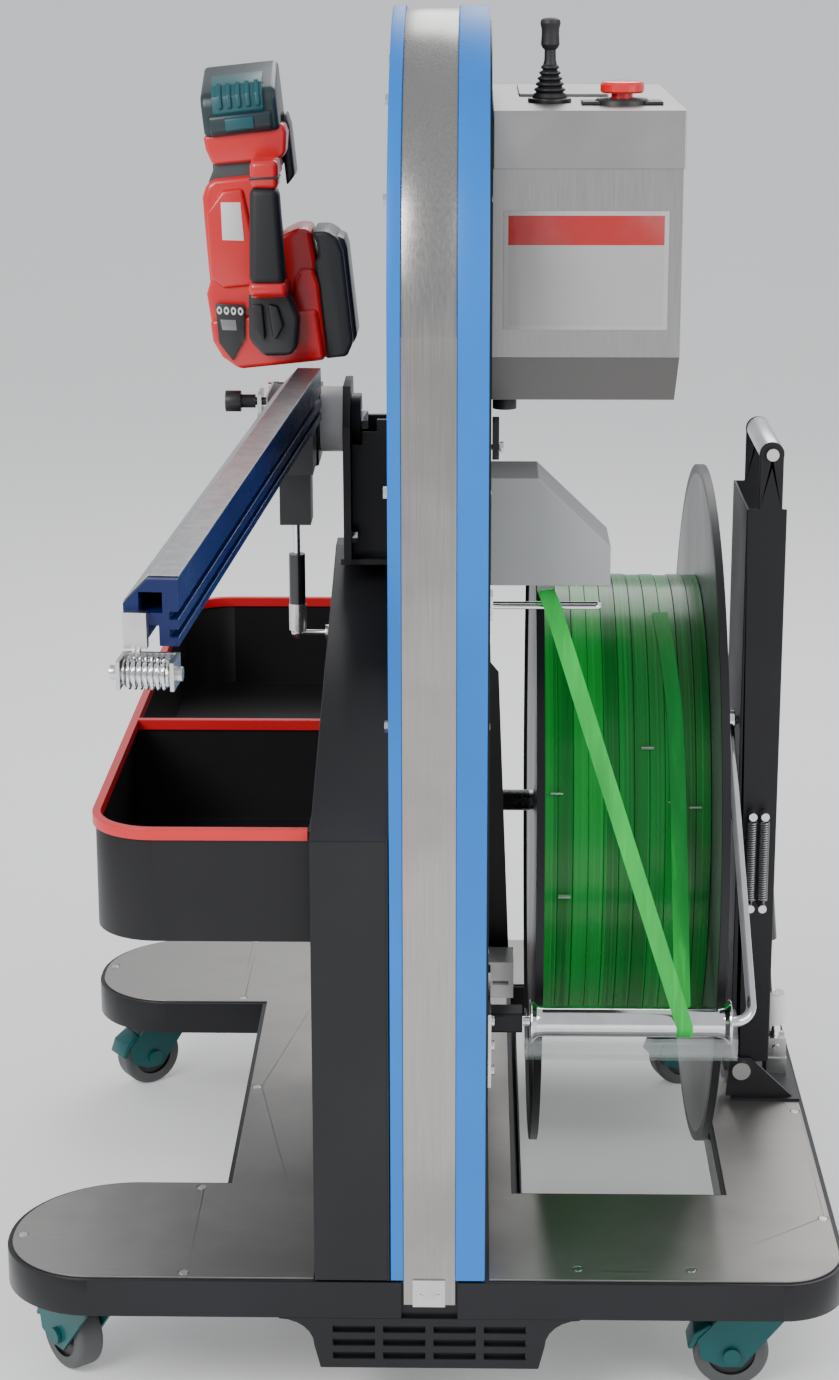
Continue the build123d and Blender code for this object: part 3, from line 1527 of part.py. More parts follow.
def build_parts():
    """Every node's shape, in deck-centred axes."""
    shapes = {name: make() for name, make in PARTS.items()}
    for name, yaw in caster_yaws.items():
        side_y, side_x = name.split("_")
        x = caster_x if side_x == "right" else -caster_x
        y = caster_y if side_y == "far" else -caster_y
        shapes["caster_fork_" + name] = group([caster_fork(x, y, yaw), caster_axle(x, y, yaw)])
        shapes["caster_wheel_" + name] = caster_wheel(x, y, yaw)
    return shapes


def footprint_shift(shapes):
    """The move that puts the origin on the floor under the middle of the whole machine."""
    boxes = [shape.bounding_box() for shape in shapes.values()]
    x = (min(box.min.X for box in boxes) + max(box.max.X for box in boxes)) / 2
    y = (min(box.min.Y for box in boxes) + max(box.max.Y for box in boxes)) / 2
    z = min(box.min.Z for box in boxes)
    return (-x, -y, -z)


if __name__ == "__main__":
    os.makedirs("parts", exist_ok=True)
    all_shapes = build_parts()
    shift = footprint_shift(all_shapes)
    print("shift", shift)
    for node, shape in all_shapes.items():
        moved = [Pos(*shift) * solid for solid in shape.solids()]
        export_step(moved[0] if len(moved) == 1 else Compound(moved), f"parts/{node}.step")
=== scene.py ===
"""Looks of the pallet strapping machine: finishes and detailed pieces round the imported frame."""
import math

import bpy
from mathutils import Matrix, Vector


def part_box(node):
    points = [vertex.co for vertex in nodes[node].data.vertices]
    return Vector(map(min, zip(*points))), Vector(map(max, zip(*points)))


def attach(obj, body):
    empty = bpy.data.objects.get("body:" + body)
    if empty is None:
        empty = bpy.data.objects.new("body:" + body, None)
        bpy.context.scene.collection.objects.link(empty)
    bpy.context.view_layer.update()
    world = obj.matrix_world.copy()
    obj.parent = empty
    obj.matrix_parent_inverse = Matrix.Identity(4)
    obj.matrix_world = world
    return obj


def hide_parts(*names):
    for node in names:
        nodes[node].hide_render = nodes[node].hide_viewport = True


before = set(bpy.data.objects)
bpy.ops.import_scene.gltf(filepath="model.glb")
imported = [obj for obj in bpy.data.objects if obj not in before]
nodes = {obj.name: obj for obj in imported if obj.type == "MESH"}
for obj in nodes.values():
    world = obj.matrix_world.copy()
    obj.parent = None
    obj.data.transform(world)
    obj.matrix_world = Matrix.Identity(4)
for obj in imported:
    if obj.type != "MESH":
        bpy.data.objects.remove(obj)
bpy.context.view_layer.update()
MM = 0.001


# ---- material helpers ----
class Signal:
    """One output in a material, so that sums of outputs read as plain arithmetic."""

    def __init__(self, finish, socket):
        self.finish = finish
        self.socket = socket

    def sum(self, operation, *values):
        return self.finish.node("ShaderNodeMath", {"operation": operation}, *values)

    def __add__(self, other):
        return self.sum("ADD", self, other)

    def __sub__(self, other):
        return self.sum("SUBTRACT", self, other)

    def __mul__(self, other):
        return self.sum("MULTIPLY", self, other)

    def __truediv__(self, other):
        return self.sum("DIVIDE", self, other)

    def __pow__(self, other):
        return self.sum("POWER", self, other)

    def __radd__(self, other):
        return self.sum("ADD", other, self)

    def __rsub__(self, other):
        return self.sum("SUBTRACT", other, self)

    def __rmul__(self, other):
        return self.sum("MULTIPLY", other, self)

    def either(self, other):
        """The larger of two masks."""
        return self.sum("MAXIMUM", self, other)

    def within(self, low, high):
        """1 where the value lies between two limits."""
        return self.sum("COMPARE", self, (low + high) / 2, abs(high - low) / 2)

    def ramp(self, low, high):
        """0 below low, 1 above high and a soft step between."""
        return self.finish.node("ShaderNodeMapRange", {"interpolation_type": "SMOOTHSTEP"}, self, low, high,
                                0.0, 1.0)


class Finish:
    """One procedural material: a Principled shader and the nodes that feed it."""

    def __init__(self, name, roughness=0.5, metallic=0.0, **fixed):
        self.material = bpy.data.materials.new(name)
        self.material.use_nodes = True
        self.tree = self.material.node_tree
        self.shader = self.tree.nodes["Principled BSDF"]
        self.place = self.node("ShaderNodeTexCoord", out="Object")
        self.x, self.y, self.z = (self.node("ShaderNodeSeparateXYZ", {}, self.place, out=k)
                                  for k in range(3))
        self.feed("Roughness", roughness)
        self.feed("Metallic", metallic)
        for socket, value in fixed.items():
            self.shader.inputs[socket.replace("_", " ").title().replace("Ior", "IOR")].default_value = value

    def node(self, kind, settings=None, *values, out=0, **named):
        """A node of a kind, with its settings made first and then its inputs set or linked."""
        made = self.tree.nodes.new(kind)
        for key, value in (settings or {}).items():
            setattr(made, key, value)
        pairs = list(zip(made.inputs, values)) + [(made.inputs[key.replace("_", " ")], value)
                                                  for key, value in named.items()]
        for socket, value in pairs:
            if value is None:
                continue
            if isinstance(value, Signal):
                self.tree.links.new(value.socket, socket)
            else:
                socket.default_value = value
        return Signal(self, made.outputs[out])

    def feed(self, socket, value):
        """Sets or links one input of the shader."""
        if isinstance(value, Signal):
            self.tree.links.new(value.socket, self.shader.inputs[socket])
        else:
            self.shader.inputs[socket].default_value = value
        return self

    def mix(self, mask, first, second):
        """A colour: first where the mask is 0, second where it is 1."""
        made = self.tree.nodes.new("ShaderNodeMix")
        made.data_type = "RGBA"
        for index, value in ((0, mask), (6, first), (7, second)):
            if isinstance(value, Signal):
                self.tree.links.new(value.socket, made.inputs[index])
            elif index == 0:
                made.inputs[0].default_value = value
            else:
                made.inputs[index].default_value = (*value, 1.0)
        return Signal(self, made.outputs[2])

    def noise(self, scale, detail=2.0, stretch=(1, 1, 1)):
        """Cloudy variation, about 0.5 in the middle, drawn out along chosen axes."""
        spot = self.node("ShaderNodeVectorMath", {"operation": "MULTIPLY"}, self.place, stretch)
        return self.node("ShaderNodeTexNoise", {}, Vector=spot, Scale=scale, Detail=detail)

    def bump(self, height, strength=0.3, distance=0.0005):
        """Small relief."""
        made = self.node("ShaderNodeBump", {}, Strength=strength, Distance=distance, Height=height)
        return self.feed("Normal", made)

    def region(self, low, high):
        """1 inside a box given by two corners in metres; None leaves a side open."""
        mask = None
        for value, a, b in zip((self.x, self.y, self.z), low, high):
            if a is None:
                continue
            part = value.within(a, b)
            mask = part if mask is None else mask * part
        return mask


def shade(colour, factor):
    """A colour made lighter or darker."""
    return tuple(min(1.0, channel * factor) for channel in colour)


def powder_coat(name, colour, roughness=0.42, dust=0.35):
    """Stove enamel over sheet: a fine pebble, soft dust and a little rubbing."""
    f = Finish(name, coat_weight=0.04, coat_roughness=0.35, specular_ior_level=0.28)
    cloud = f.noise(6.0, 4.0)
    f.feed("Base Color", f.mix(cloud.ramp(0.42, 0.75) * dust, colour, shade(colour, 1.9)))
    f.feed("Roughness", roughness + (cloud - 0.5) * 0.22)
    return f.bump(f.noise(1400.0, 2.0), 0.16, 0.0002)


def brushed_steel(name, colour, grain=(1, 1, 0.02), roughness=0.3, blotch=0.25):
    """Brushed sheet: long fine scratches, cloudy sheen and a few deeper marks."""
    f = Finish(name, metallic=1.0)
    lines = f.noise(900.0, 3.0, grain)
    cloud = f.noise(7.0, 3.0)
    tone = f.mix(lines, shade(colour, 0.82), shade(colour, 1.14))
    f.feed("Base Color", f.mix(cloud.ramp(0.45, 0.7) * blotch, tone, shade(colour, 0.72)))
    f.feed("Roughness", roughness + (lines - 0.5) * 0.16 + (cloud - 0.5) * 0.12)
    return f.bump(lines, 0.12, 0.0002)


def bare_metal(name, colour, roughness=0.22, spangle=0.0):
    """Plated or polished metal with faint stains."""
    f = Finish(name, metallic=1.0)
    cloud = f.noise(40.0, 4.0)
    tone = f.mix(cloud.ramp(0.4, 0.75) * 0.35, colour, shade(colour, 0.7))
    if spangle:
        crystal = f.node("ShaderNodeTexVoronoi", {}, Vector=f.place, Scale=spangle, out="Color")
        speck = f.node("ShaderNodeSeparateXYZ", {}, crystal, out=0)
        tone = f.mix(speck * 0.55, tone, shade(colour, 0.62))
    f.feed("Base Color", tone)
    f.feed("Roughness", roughness + (cloud - 0.5) * 0.16)
    return f.bump(f.noise(700.0, 2.0), 0.06, 0.0002)


def moulded(name, colour, roughness=0.38, grain=900.0, depth=0.14, wear=0.2, **fixed):
    """Moulded plastic with a fine texture and a slight unevenness."""
    f = Finish(name, **fixed)
    cloud = f.noise(9.0, 3.0)
    f.feed("Base Color", f.mix(cloud.ramp(0.35, 0.8) * wear, colour, shade(colour, 1.35)))
    f.feed("Roughness", roughness + (cloud - 0.5) * 0.14)
    return f.bump(f.noise(grain, 2.0), depth, 0.0002)


# ---- placing helpers ----
def place(node):
    """The two corners of a node's box and its middle."""
    low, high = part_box(node)
    return low, high, (low + high) / 2


def paint(finish, *names):
    """Gives CAD nodes one finish."""
    for name in names:
        mesh = nodes[name].data
        mesh.materials.clear()
        mesh.materials.append(finish.material)


def soften(width, steps, *names):
    """Rounds the sharp edges of CAD nodes a little."""
    for name in names:
        piece = nodes[name]
        weld = piece.modifiers.new("weld", "WELD")
        weld.merge_threshold = 0.00002
        bevel = piece.modifiers.new("bevel", "BEVEL")
        bevel.width = width
        bevel.segments = steps
        bevel.limit_method = "ANGLE"
        bevel.angle_limit = math.radians(40)
        bevel.harden_normals = False


def choose(*things):
    """Selects only these objects."""
    bpy.ops.object.select_all(action="DESELECT")
    for thing in things:
        thing.select_set(True)
    bpy.context.view_layer.objects.active = things[0]


def settle(piece, name=None):
    """Puts a piece's place into its mesh and names it."""
    choose(piece)
    bpy.ops.object.transform_apply(location=True, rotation=True, scale=True)
    if name:
        piece.name = name
    return piece


def with_modifier(piece, kind, **settings):
    """Adds a modifier and applies it."""
    modifier = piece.modifiers.new(kind.lower(), kind)
    for key, value in settings.items():
        setattr(modifier, key, value)
    choose(piece)
    bpy.ops.object.modifier_apply(modifier=modifier.name)
    return piece


def smooth(piece, angle=35.0):
    """Shades a piece smooth except over its sharp edges."""
    choose(piece)
    bpy.ops.object.shade_smooth_by_angle(angle=math.radians(angle))
    return piece


def finish_piece(piece, finish, body, stands_for=(), angle=35.0):
    """The last steps of a new piece: smooth shading, its material and the body it moves with."""
    smooth(piece, angle)
    if finish is not None:
        piece.data.materials.clear()
        piece.data.materials.append(finish.material)
    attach(piece, body)
    if stands_for:
        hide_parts(*stands_for)
    return piece


def rounded_block(name, low, high, round_by=0.0015, steps=3):
    """A block between two corners with rounded edges."""
    middle = [(a + b) / 2 for a, b in zip(low, high)]
    bpy.ops.object.select_all(action="DESELECT")
    bpy.ops.mesh.primitive_cube_add(size=1.0, location=middle)
    piece = bpy.context.object
    piece.scale = [abs(b - a) for a, b in zip(low, high)]
    settle(piece, name)
    bpy.ops.object.mode_set(mode="EDIT")
    bpy.ops.mesh.select_all(action="SELECT")
    bpy.ops.mesh.bevel(offset=round_by, segments=steps, affect="EDGES")
    bpy.ops.object.mode_set(mode="OBJECT")
    return piece


def outline_block(name, points, low, high, across="y", round_by=0.002, steps=3):
    """A solid whose outline is drawn in two axes and pushed along the third, with rounded edges."""
    def corner(point, depth):
        u, v = point
        return {"x": (depth, u, v), "y": (u, depth, v), "z": (u, v, depth)}[across]

    mesh = bpy.data.meshes.new(name)
    mesh.from_pydata([corner(point, low) for point in points], [], [list(range(len(points)))])
    piece = bpy.data.objects.new(name, mesh)
    bpy.context.collection.objects.link(piece)
    choose(piece)
    push = {"x": (high - low, 0, 0), "y": (0, high - low, 0), "z": (0, 0, high - low)}[across]
    bpy.ops.object.mode_set(mode="EDIT")
    bpy.ops.mesh.select_all(action="SELECT")
    bpy.ops.mesh.extrude_region_move(TRANSFORM_OT_translate={"value": push})
    bpy.ops.mesh.select_all(action="SELECT")
    bpy.ops.mesh.normals_make_consistent(inside=False)
    bpy.ops.object.mode_set(mode="OBJECT")
    if round_by:
        with_modifier(piece, "BEVEL", width=round_by, segments=steps, limit_method="ANGLE",
                      angle_limit=math.radians(25))
    return piece


def turned(name, profile, centre, axis="x", steps=64):
    """A closed turned piece: the profile lists (along, radius) points round the section."""
    mesh = bpy.data.meshes.new(name)
    count = len(profile)
    edges = [(k, (k + 1) % count) for k in range(count)]
    if profile[0][1] < 1e-6 and profile[-1][1] < 1e-6:
        edges = edges[:-1]
    mesh.from_pydata([(a, r, 0.0) for a, r in profile], edges, [])
    piece = bpy.data.objects.new(name, mesh)
    bpy.context.collection.objects.link(piece)
    choose(piece)
    bpy.ops.object.mode_set(mode="EDIT")
    bpy.ops.mesh.select_all(action="SELECT")
    bpy.ops.mesh.spin(steps=steps, angle=2 * math.pi, center=(0, 0, 0), axis=(1, 0, 0))
    bpy.ops.mesh.select_all(action="SELECT")
    bpy.ops.mesh.remove_doubles(threshold=0.00001)
    bpy.ops.mesh.normals_make_consistent(inside=False)
    bpy.ops.object.mode_set(mode="OBJECT")
    turn = {"x": Matrix.Identity(4), "y": Matrix.Rotation(math.pi / 2, 4, "Z"),
            "z": Matrix.Rotation(-math.pi / 2, 4, "Y")}
    piece.data.transform(Matrix.Translation(centre) @ turn[axis])
    return piece


def wire(name, points, radius):
    """A round wire or bar along a path, as a mesh."""
    line = bpy.data.curves.new(name, "CURVE")
    line.dimensions = "3D"
    line.bevel_depth = radius
    line.bevel_resolution = 4
    line.use_fill_caps = True
    spline = line.splines.new("POLY")
    spline.points.add(len(points) - 1)
    for point, spot in zip(spline.points, points):
        point.co = (*spot, 1.0)
    piece = bpy.data.objects.new(name, line)
    bpy.context.collection.objects.link(piece)
    choose(piece)
    bpy.ops.object.convert(target="MESH")
    return bpy.context.object


def joined(name, *parts):
    """Several pieces made one."""
    choose(*parts)
    bpy.ops.object.join()
    piece = bpy.context.object
    piece.name = name
    return piece


def moved(piece, matrix):
    """Moves a piece's mesh by a matrix."""
    piece.data.transform(matrix)
    return piece


# ---- finishes ----
SHEET_BLACK = (0.012, 0.012, 0.014)
SHEET_STEEL = (0.40, 0.385, 0.37)
ZINC_PLATE = (0.70, 0.70, 0.68)
CHROME_PLATE = (0.82, 0.82, 0.83)
NATURAL_NYLON = (0.80, 0.80, 0.77)
BOX_STEEL = (0.38, 0.375, 0.37)
GLOSS_BLACK = (0.010, 0.010, 0.011)

black_sheet = powder_coat("black_sheet", SHEET_BLACK, 0.4, 0.5)
deck_black = powder_coat("deck_black", (0.010, 0.010, 0.012), 0.3, 0.4)
tray_black = powder_coat("tray_black", (0.009, 0.009, 0.010), 0.45, 0.4)
deck_steel = brushed_steel("deck_steel", SHEET_STEEL, (0.02, 1, 1), 0.45, 0.5)
loop_steel = brushed_steel("loop_steel", SHEET_STEEL, (0.6, 0.6, 0.015), 0.27, 0.6)
rim_blue = moulded("rim_blue", (0.0, 0.165, 0.60), 0.42, 260.0, 0.12, 0.25)
trim_red = moulded("trim_red", (0.62, 0.008, 0.014), 0.42, 500.0, 0.12, 0.15, coat_weight=0.2)
zinc = bare_metal("zinc", ZINC_PLATE, 0.27)
chrome = bare_metal("chrome", CHROME_PLATE, 0.09)
galvanised = bare_metal("galvanised", (0.50, 0.51, 0.52), 0.36, 120.0)
aluminium = brushed_steel("aluminium", (0.72, 0.73, 0.74), (0.8, 0.02, 0.8), 0.3, 0.15)
grey_paint = powder_coat("grey_paint", (0.30, 0.31, 0.315), 0.45, 0.12)
black_plastic = moulded("black_plastic", (0.014, 0.014, 0.015), 0.42, 800.0, 0.2)
rubber = moulded("rubber", (0.012, 0.012, 0.013), 0.55, 500.0, 0.3)
nylon = moulded("nylon", NATURAL_NYLON, 0.36, 300.0, 0.1, 0.05)
rail_blue = powder_coat("rail_blue", (0.006, 0.014, 0.085), 0.26, 0.25)
tool_red = moulded("tool_red", (0.66, 0.012, 0.016), 0.3, 700.0, 0.06, 0.12, coat_weight=0.35,
                   coat_roughness=0.15)
switch_red = moulded("switch_red", (0.75, 0.01, 0.012), 0.25, 400.0, 0.04, 0.1, coat_weight=0.5,
                     coat_roughness=0.1)
dark_cover = moulded("dark_cover", (0.022, 0.023, 0.025), 0.34, 650.0, 0.16, 0.3)
neck_grey = moulded("neck_grey", (0.055, 0.058, 0.062), 0.4, 600.0, 0.15)
battery_dark = moulded("battery_dark", (0.016, 0.032, 0.036), 0.34, 600.0, 0.18, 0.3)
battery_teal = moulded("battery_teal", (0.010, 0.085, 0.100), 0.38, 600.0, 0.18, 0.2)
caster_green = powder_coat("caster_green", (0.008, 0.085, 0.088), 0.28, 0.3)
damper_black = moulded("damper_black", GLOSS_BLACK, 0.16, 200.0, 0.02, coat_weight=0.6, coat_roughness=0.08)


def clear_guard():
    """Clear acrylic of the roller guard."""
    f = Finish("clear_guard", 0.08, alpha=0.17, transmission_weight=0.6, ior=1.46)
    cloud = f.noise(30.0, 3.0)
    f.feed("Base Color", f.mix(cloud, (0.82, 0.86, 0.88), (0.95, 0.97, 0.98)))
    return f.feed("Roughness", 0.06 + cloud * 0.1)


def green_strap(name, colour):
    """Embossed polyester strap: glossy, slightly cloudy, with a fine cross pattern."""
    f = Finish(name, coat_weight=0.12, coat_roughness=0.12, specular_ior_level=0.32)
    cloud = f.noise(5.0, 3.0, (6, 1, 1))
    fleck = f.noise(60.0, 2.0, (3, 0.3, 0.3))
    tone = f.mix(cloud.ramp(0.3, 0.75), shade(colour, 0.72), shade(colour, 1.3))
    f.feed("Base Color", f.mix(fleck.ramp(0.55, 0.8) * 0.35, tone, shade(colour, 1.9)))
    f.feed("Roughness", 0.2 + cloud * 0.14)
    return f.bump(f.noise(420.0, 2.0, (1, 1, 1)) + fleck * 2, 0.12, 0.0003)


strap_bright = green_strap("strap_bright", (0.006, 0.46, 0.050))


def two_tone(name, first, second, mask_of, **fixed):
    """A finish of two tones parted by a mask, each tone given as (colour, roughness, metallic)."""
    f = Finish(name, **fixed)
    mask = mask_of(f)
    cloud = f.noise(12.0, 3.0)
    tone = f.mix(mask, first[0], second[0])
    f.feed("Base Color",
           f.mix(cloud.ramp(0.4, 0.8) * 0.25, tone,
                 f.mix(mask, shade(first[0], 1.4), shade(second[0], 0.75))))
    f.feed("Roughness", first[1] + mask * (second[1] - first[1]) + (cloud - 0.5) * 0.14)
    f.feed("Metallic", first[2] + mask * (second[2] - first[2]))
    return f.bump(f.noise(800.0, 2.0), 0.1, 0.0002)


BLACK = (SHEET_BLACK, 0.4, 0.0)
ZINC = (ZINC_PLATE, 0.27, 1.0)
WHITE = (NATURAL_NYLON, 0.38, 0.0)
CHROME = (CHROME_PLATE, 0.1, 1.0)


# ---- carried-over nodes ----
paint(deck_black, "deck_frame", "lance_housing")
paint(deck_steel, "deck_plates")
paint(black_sheet, "side_plate", "tower_body", "tower_inner_panel", "tool_bracket", "coil_arm", "reel_hub")
paint(tray_black, "tray")
paint(trim_red, "tray_trim")
paint(rim_blue, "magazine_rim_left", "magazine_rim_right")
paint(loop_steel, "magazine_cover")
paint(zinc, "frame_fasteners", "caster_plates", "lance_head", "drive_sprocket", "end_stop")
paint(black_plastic, "lance_chain", "drive_unit", "index_plunger", "stop_roller")
paint(grey_paint, "strap_cover")
paint(aluminium, "handle_tube")
paint(chrome, "dancer_roller", "strut_rod")
paint(damper_black, "damper_tube")
paint(rail_blue, "tool_rail")
paint(galvanised, "rail_cover")
paint(nylon, "nylon_ring")
paint(switch_red, "switch_button")

box_low, box_high, _ = place("control_box")
lid_low, lid_high, _ = place("control_lid")
BAND_HEIGHT = 39 * MM
EDGE = 0.4 * MM
box_finish = brushed_steel("box_steel", BOX_STEEL, (1, 1, 0.03), 0.36, 0.3)
band = 1.0 - box_finish.z.ramp(box_low.z + BAND_HEIGHT - EDGE, box_low.z + BAND_HEIGHT + EDGE)
box_tone = box_finish.mix(box_finish.noise(900.0, 3.0, (1, 1, 0.03)), (0.33, 0.325, 0.32),
                          (0.45, 0.445, 0.44))
box_finish.feed("Base Color", box_finish.mix(band, box_tone, (0.16, 0.155, 0.15)))
paint(box_finish, "control_box")
standing_z = lid_high.z - 4.8 * MM  # the pieces that stand on the lid start here
hatch_y = lid_low.y + 171 * MM  # and end in front of the hatch plate
paint(two_tone("lid_finish", (BOX_STEEL, 0.36, 1.0), BLACK,
               lambda f: f.z.ramp(standing_z - 0.1 * MM, standing_z + 0.1 * MM)
               * (1.0 - f.y.ramp(hatch_y - 1 * MM, hatch_y + 1 * MM))), "control_lid")

guide_low, guide_high, _ = place("strap_guides")
NYLON_HEIGHT = 50 * MM
paint(two_tone("guide_finish", CHROME, WHITE,
               lambda f: 1.0 - f.z.ramp(guide_low.z + NYLON_HEIGHT, guide_low.z + NYLON_HEIGHT + 1 * MM)),
      "strap_guides")

foot_low, foot_high, _ = place("arm_foot")
rod_low, rod_high, rod_middle = place("damper_rod")
paint(two_tone("foot_finish", BLACK, ZINC,
               lambda f: f.region((rod_high.x - 0.022, rod_middle.y - 0.018, foot_low.z + 0.0032),
                                  (foot_high.x, rod_middle.y + 0.018, foot_high.z))), "arm_foot")
COLLAR_START = 34.5 * MM
COLLAR_END = 71.5 * MM
paint(two_tone("damper_rod_finish", CHROME, WHITE,
               lambda f: f.z.within(rod_low.z + COLLAR_START, rod_low.z + COLLAR_END)), "damper_rod")

reel_low, reel_high, reel_middle = place("reel_flanges")
reel_radius = (reel_high.y - reel_low.y) / 2
RIM_WIDTH = 10 * MM


def far_from_spindle(f, distance):
    """1 beyond a distance from the reel's axis."""
    across = (f.y - reel_middle.y) ** 2 + (f.z - reel_middle.z) ** 2
    return (across ** 0.5).ramp(distance - EDGE, distance + EDGE)


disc = powder_coat("disc_finish", (0.17, 0.175, 0.18), 0.4, 0.2)
disc_cloud = disc.noise(8.0, 4.0)
disc_rim = far_from_spindle(disc, reel_radius - RIM_WIDTH)
disc_tone = disc.mix(disc_cloud.ramp(0.35, 0.7), (0.20, 0.205, 0.21), (0.26, 0.265, 0.27))
disc_left = 1.0 - disc.x.ramp(reel_middle.x - 0.01, reel_middle.x + 0.01)
disc.feed("Base Color", disc.mix(disc_rim.either(disc_left), disc_tone, SHEET_BLACK))
disc.feed("Metallic", (1.0 - disc_rim.either(disc_left)) * 0.45)
paint(disc, "reel_flanges")

arm_low, _, _ = place("coil_arm")
spindle_finish = two_tone("pins_finish", ZINC, ((0.42, 0.44, 0.46), 0.45, 0.0), lambda f: f.region(
    (arm_low.x - 0.03, arm_low.y - 0.001, arm_low.z), (arm_low.x, arm_low.y + 0.026, arm_low.z + 0.07)))
thread = spindle_finish.node("ShaderNodeMath", {"operation": "SINE"}, spindle_finish.x * 2800.0)
thread_mask = 1.0 - spindle_finish.x.ramp(reel_low.x - 0.001, reel_low.x)
spindle_finish.bump(thread * thread_mask, 0.8, 0.0008)
paint(spindle_finish, "arm_pins")

head_low, _, _ = place("arm_head")
HEAD_FACE = 11.8 * MM
paint(two_tone("head_finish", BLACK, ZINC,
               lambda f: 1.0 - f.x.ramp(head_low.x + HEAD_FACE, head_low.x + HEAD_FACE + 0.2 * MM)),
      "arm_head")
tube_low, _, _ = place("strut_tube")
STRUT_EYE = 28 * MM
paint(two_tone("strut_finish", (GLOSS_BLACK, 0.18, 0.0), ZINC,
               lambda f: 1.0 - f.z.ramp(tube_low.z + STRUT_EYE, tube_low.z + STRUT_EYE + EDGE),
               coat_weight=0.4), "strut_tube")

HUB_RADIUS = 27.5 * MM
for corner in ("near_left", "near_right", "far_left", "far_right"):
    _, _, wheel_middle = place("caster_wheel_" + corner)
    axle = wheel_middle.copy()

    def hub_mask(f, axle=axle):
        reach = (f.x - axle.x) ** 2 + (f.y - axle.y) ** 2 + (f.z - axle.z) ** 2
        return 1.0 - (reach ** 0.5).ramp(HUB_RADIUS, HUB_RADIUS + 0.7 * MM)

    paint(two_tone("wheel_finish_" + corner, ((0.075, 0.078, 0.08), 0.55, 0.0),
                   ((0.012, 0.012, 0.013), 0.4, 0.0), hub_mask), "caster_wheel_" + corner)
    paint(caster_green, "caster_fork_" + corner)
    soften(0.8 * MM, 2, "caster_fork_" + corner)

soften(1.0 * MM, 2, "deck_frame", "deck_plates", "tower_body", "control_box", "control_lid", "strap_cover",
       "coil_arm", "tray", "side_plate", "lance_housing", "arm_head", "tool_bracket")
soften(2.0 * MM, 3, "magazine_rim_left", "magazine_rim_right")
soften(0.5 * MM, 2, "magazine_cover", "tool_rail", "rail_cover", "end_stop", "arm_foot", "frame_fasteners",
       "nylon_ring", "index_plunger", "dancer_roller", "strap_guides", "arm_pins", "handle_tube")
soften(3.4 * MM, 4, "tray_trim")


# ---- strap reel ----
coil_low, coil_high, coil_middle = place("strap_coil")
coil_radius = (coil_high.y - coil_low.y) / 2
CORE = 0.201
BANDS = 11


def wound_strap():
    """The wound strap: bands side by side, each band laid a little higher or lower than the next."""
    width = (coil_high.x - coil_low.x) / BANDS
    heights = (0.0, 0.8, 0.3, 1.2, 0.5, 0.0, 0.9, 0.4, 1.3, 0.2, 0.7)
    profile = [(coil_low.x, CORE)]
    for band_index, drop in enumerate(heights):
        start = coil_low.x + band_index * width
        radius = coil_radius - drop * MM
        profile += [(start + 0.1 * MM, radius - 0.6 * MM), (start + 0.5 * MM, radius),
                    (start + width - 0.5 * MM, radius), (start + width - 0.1 * MM, radius - 0.6 * MM)]
    profile.append((coil_high.x, CORE))
    return turned("wound_strap", profile, (0, coil_middle.y, coil_middle.z), "x", 144)


coil_finish = green_strap("coil_finish", (0.005, 0.20, 0.030))
bands = coil_finish.noise(1.0, 2.0, (75, 0.6, 0.6))
bands_fine = coil_finish.noise(1.0, 2.0, (420, 2.0, 2.0))
coil_tone = coil_finish.mix(bands.ramp(0.3, 0.7), (0.001, 0.17, 0.016), (0.004, 0.40, 0.040))
coil_tone = coil_finish.mix(bands_fine.ramp(0.52, 0.72) * 0.5, coil_tone, (0.020, 0.60, 0.08))
coil_finish.feed("Base Color", coil_tone)
finish_piece(wound_strap(), coil_finish, "reel", ("strap_coil",))

tie_finish = moulded("tie_finish", (0.42, 0.56, 0.44), 0.4, 300.0, 0.05)
# share across the coil's width, and height as a share of its radius
TIES = ((0.08, 0.33), (0.13, -0.09), (0.78, 0.3), (0.62, 0.5), (0.9, 0.28))
TIE_RADIUS = coil_radius - 0.4 * MM
for x_share, height in TIES:
    x = coil_low.x + x_share * (coil_high.x - coil_low.x)
    angle = math.pi - math.asin(height)
    tie = rounded_block("coil_tie", (x - 6 * MM, -1.2 * MM, -5 * MM), (x + 7 * MM, 0.6 * MM, 5 * MM),
                        0.5 * MM, 2)
    spot = Vector((0, coil_middle.y + TIE_RADIUS * math.cos(angle),
                   coil_middle.z + TIE_RADIUS * math.sin(angle)))
    moved(tie, Matrix.Translation(spot) @ Matrix.Rotation(angle + math.pi / 2, 4, "X"))
    tie.name = "coil_tie_%02d" % int(x_share * 100)
    finish_piece(tie, tie_finish, "reel")


def ribbon(name, path, width, thickness):
    """A flat strap along a path of (point, outward normal) pairs."""
    points = [Vector(spot) for spot, _ in path]
    corners = []
    for index, (spot, normal) in enumerate(path):
        ahead = points[min(index + 1, len(points) - 1)]
        behind = points[max(index - 1, 0)]
        side = (ahead - behind).normalized().cross(Vector(normal)).normalized() * width / 2
        corners += [Vector(spot) - side, Vector(spot) + side]
    faces = [(2 * k, 2 * k + 1, 2 * k + 3, 2 * k + 2) for k in range(len(path) - 1)]
    mesh = bpy.data.meshes.new(name)
    mesh.from_pydata(corners, [], faces)
    piece = bpy.data.objects.new(name, mesh)
    bpy.context.collection.objects.link(piece)
    with_modifier(piece, "SOLIDIFY", thickness=thickness, offset=0.0)
    return piece


roller_low, roller_high, roller_middle = place("dancer_roller")
ROLLER_RADIUS = 15 * MM
ROLLER_BORE = 5.2 * MM
FLARE_LENGTH = 12 * MM
STRAP_WIDTH = 16 * MM
STRAP_THICKNESS = 0.8 * MM
STRAP_LIFT = 1.0 * MM


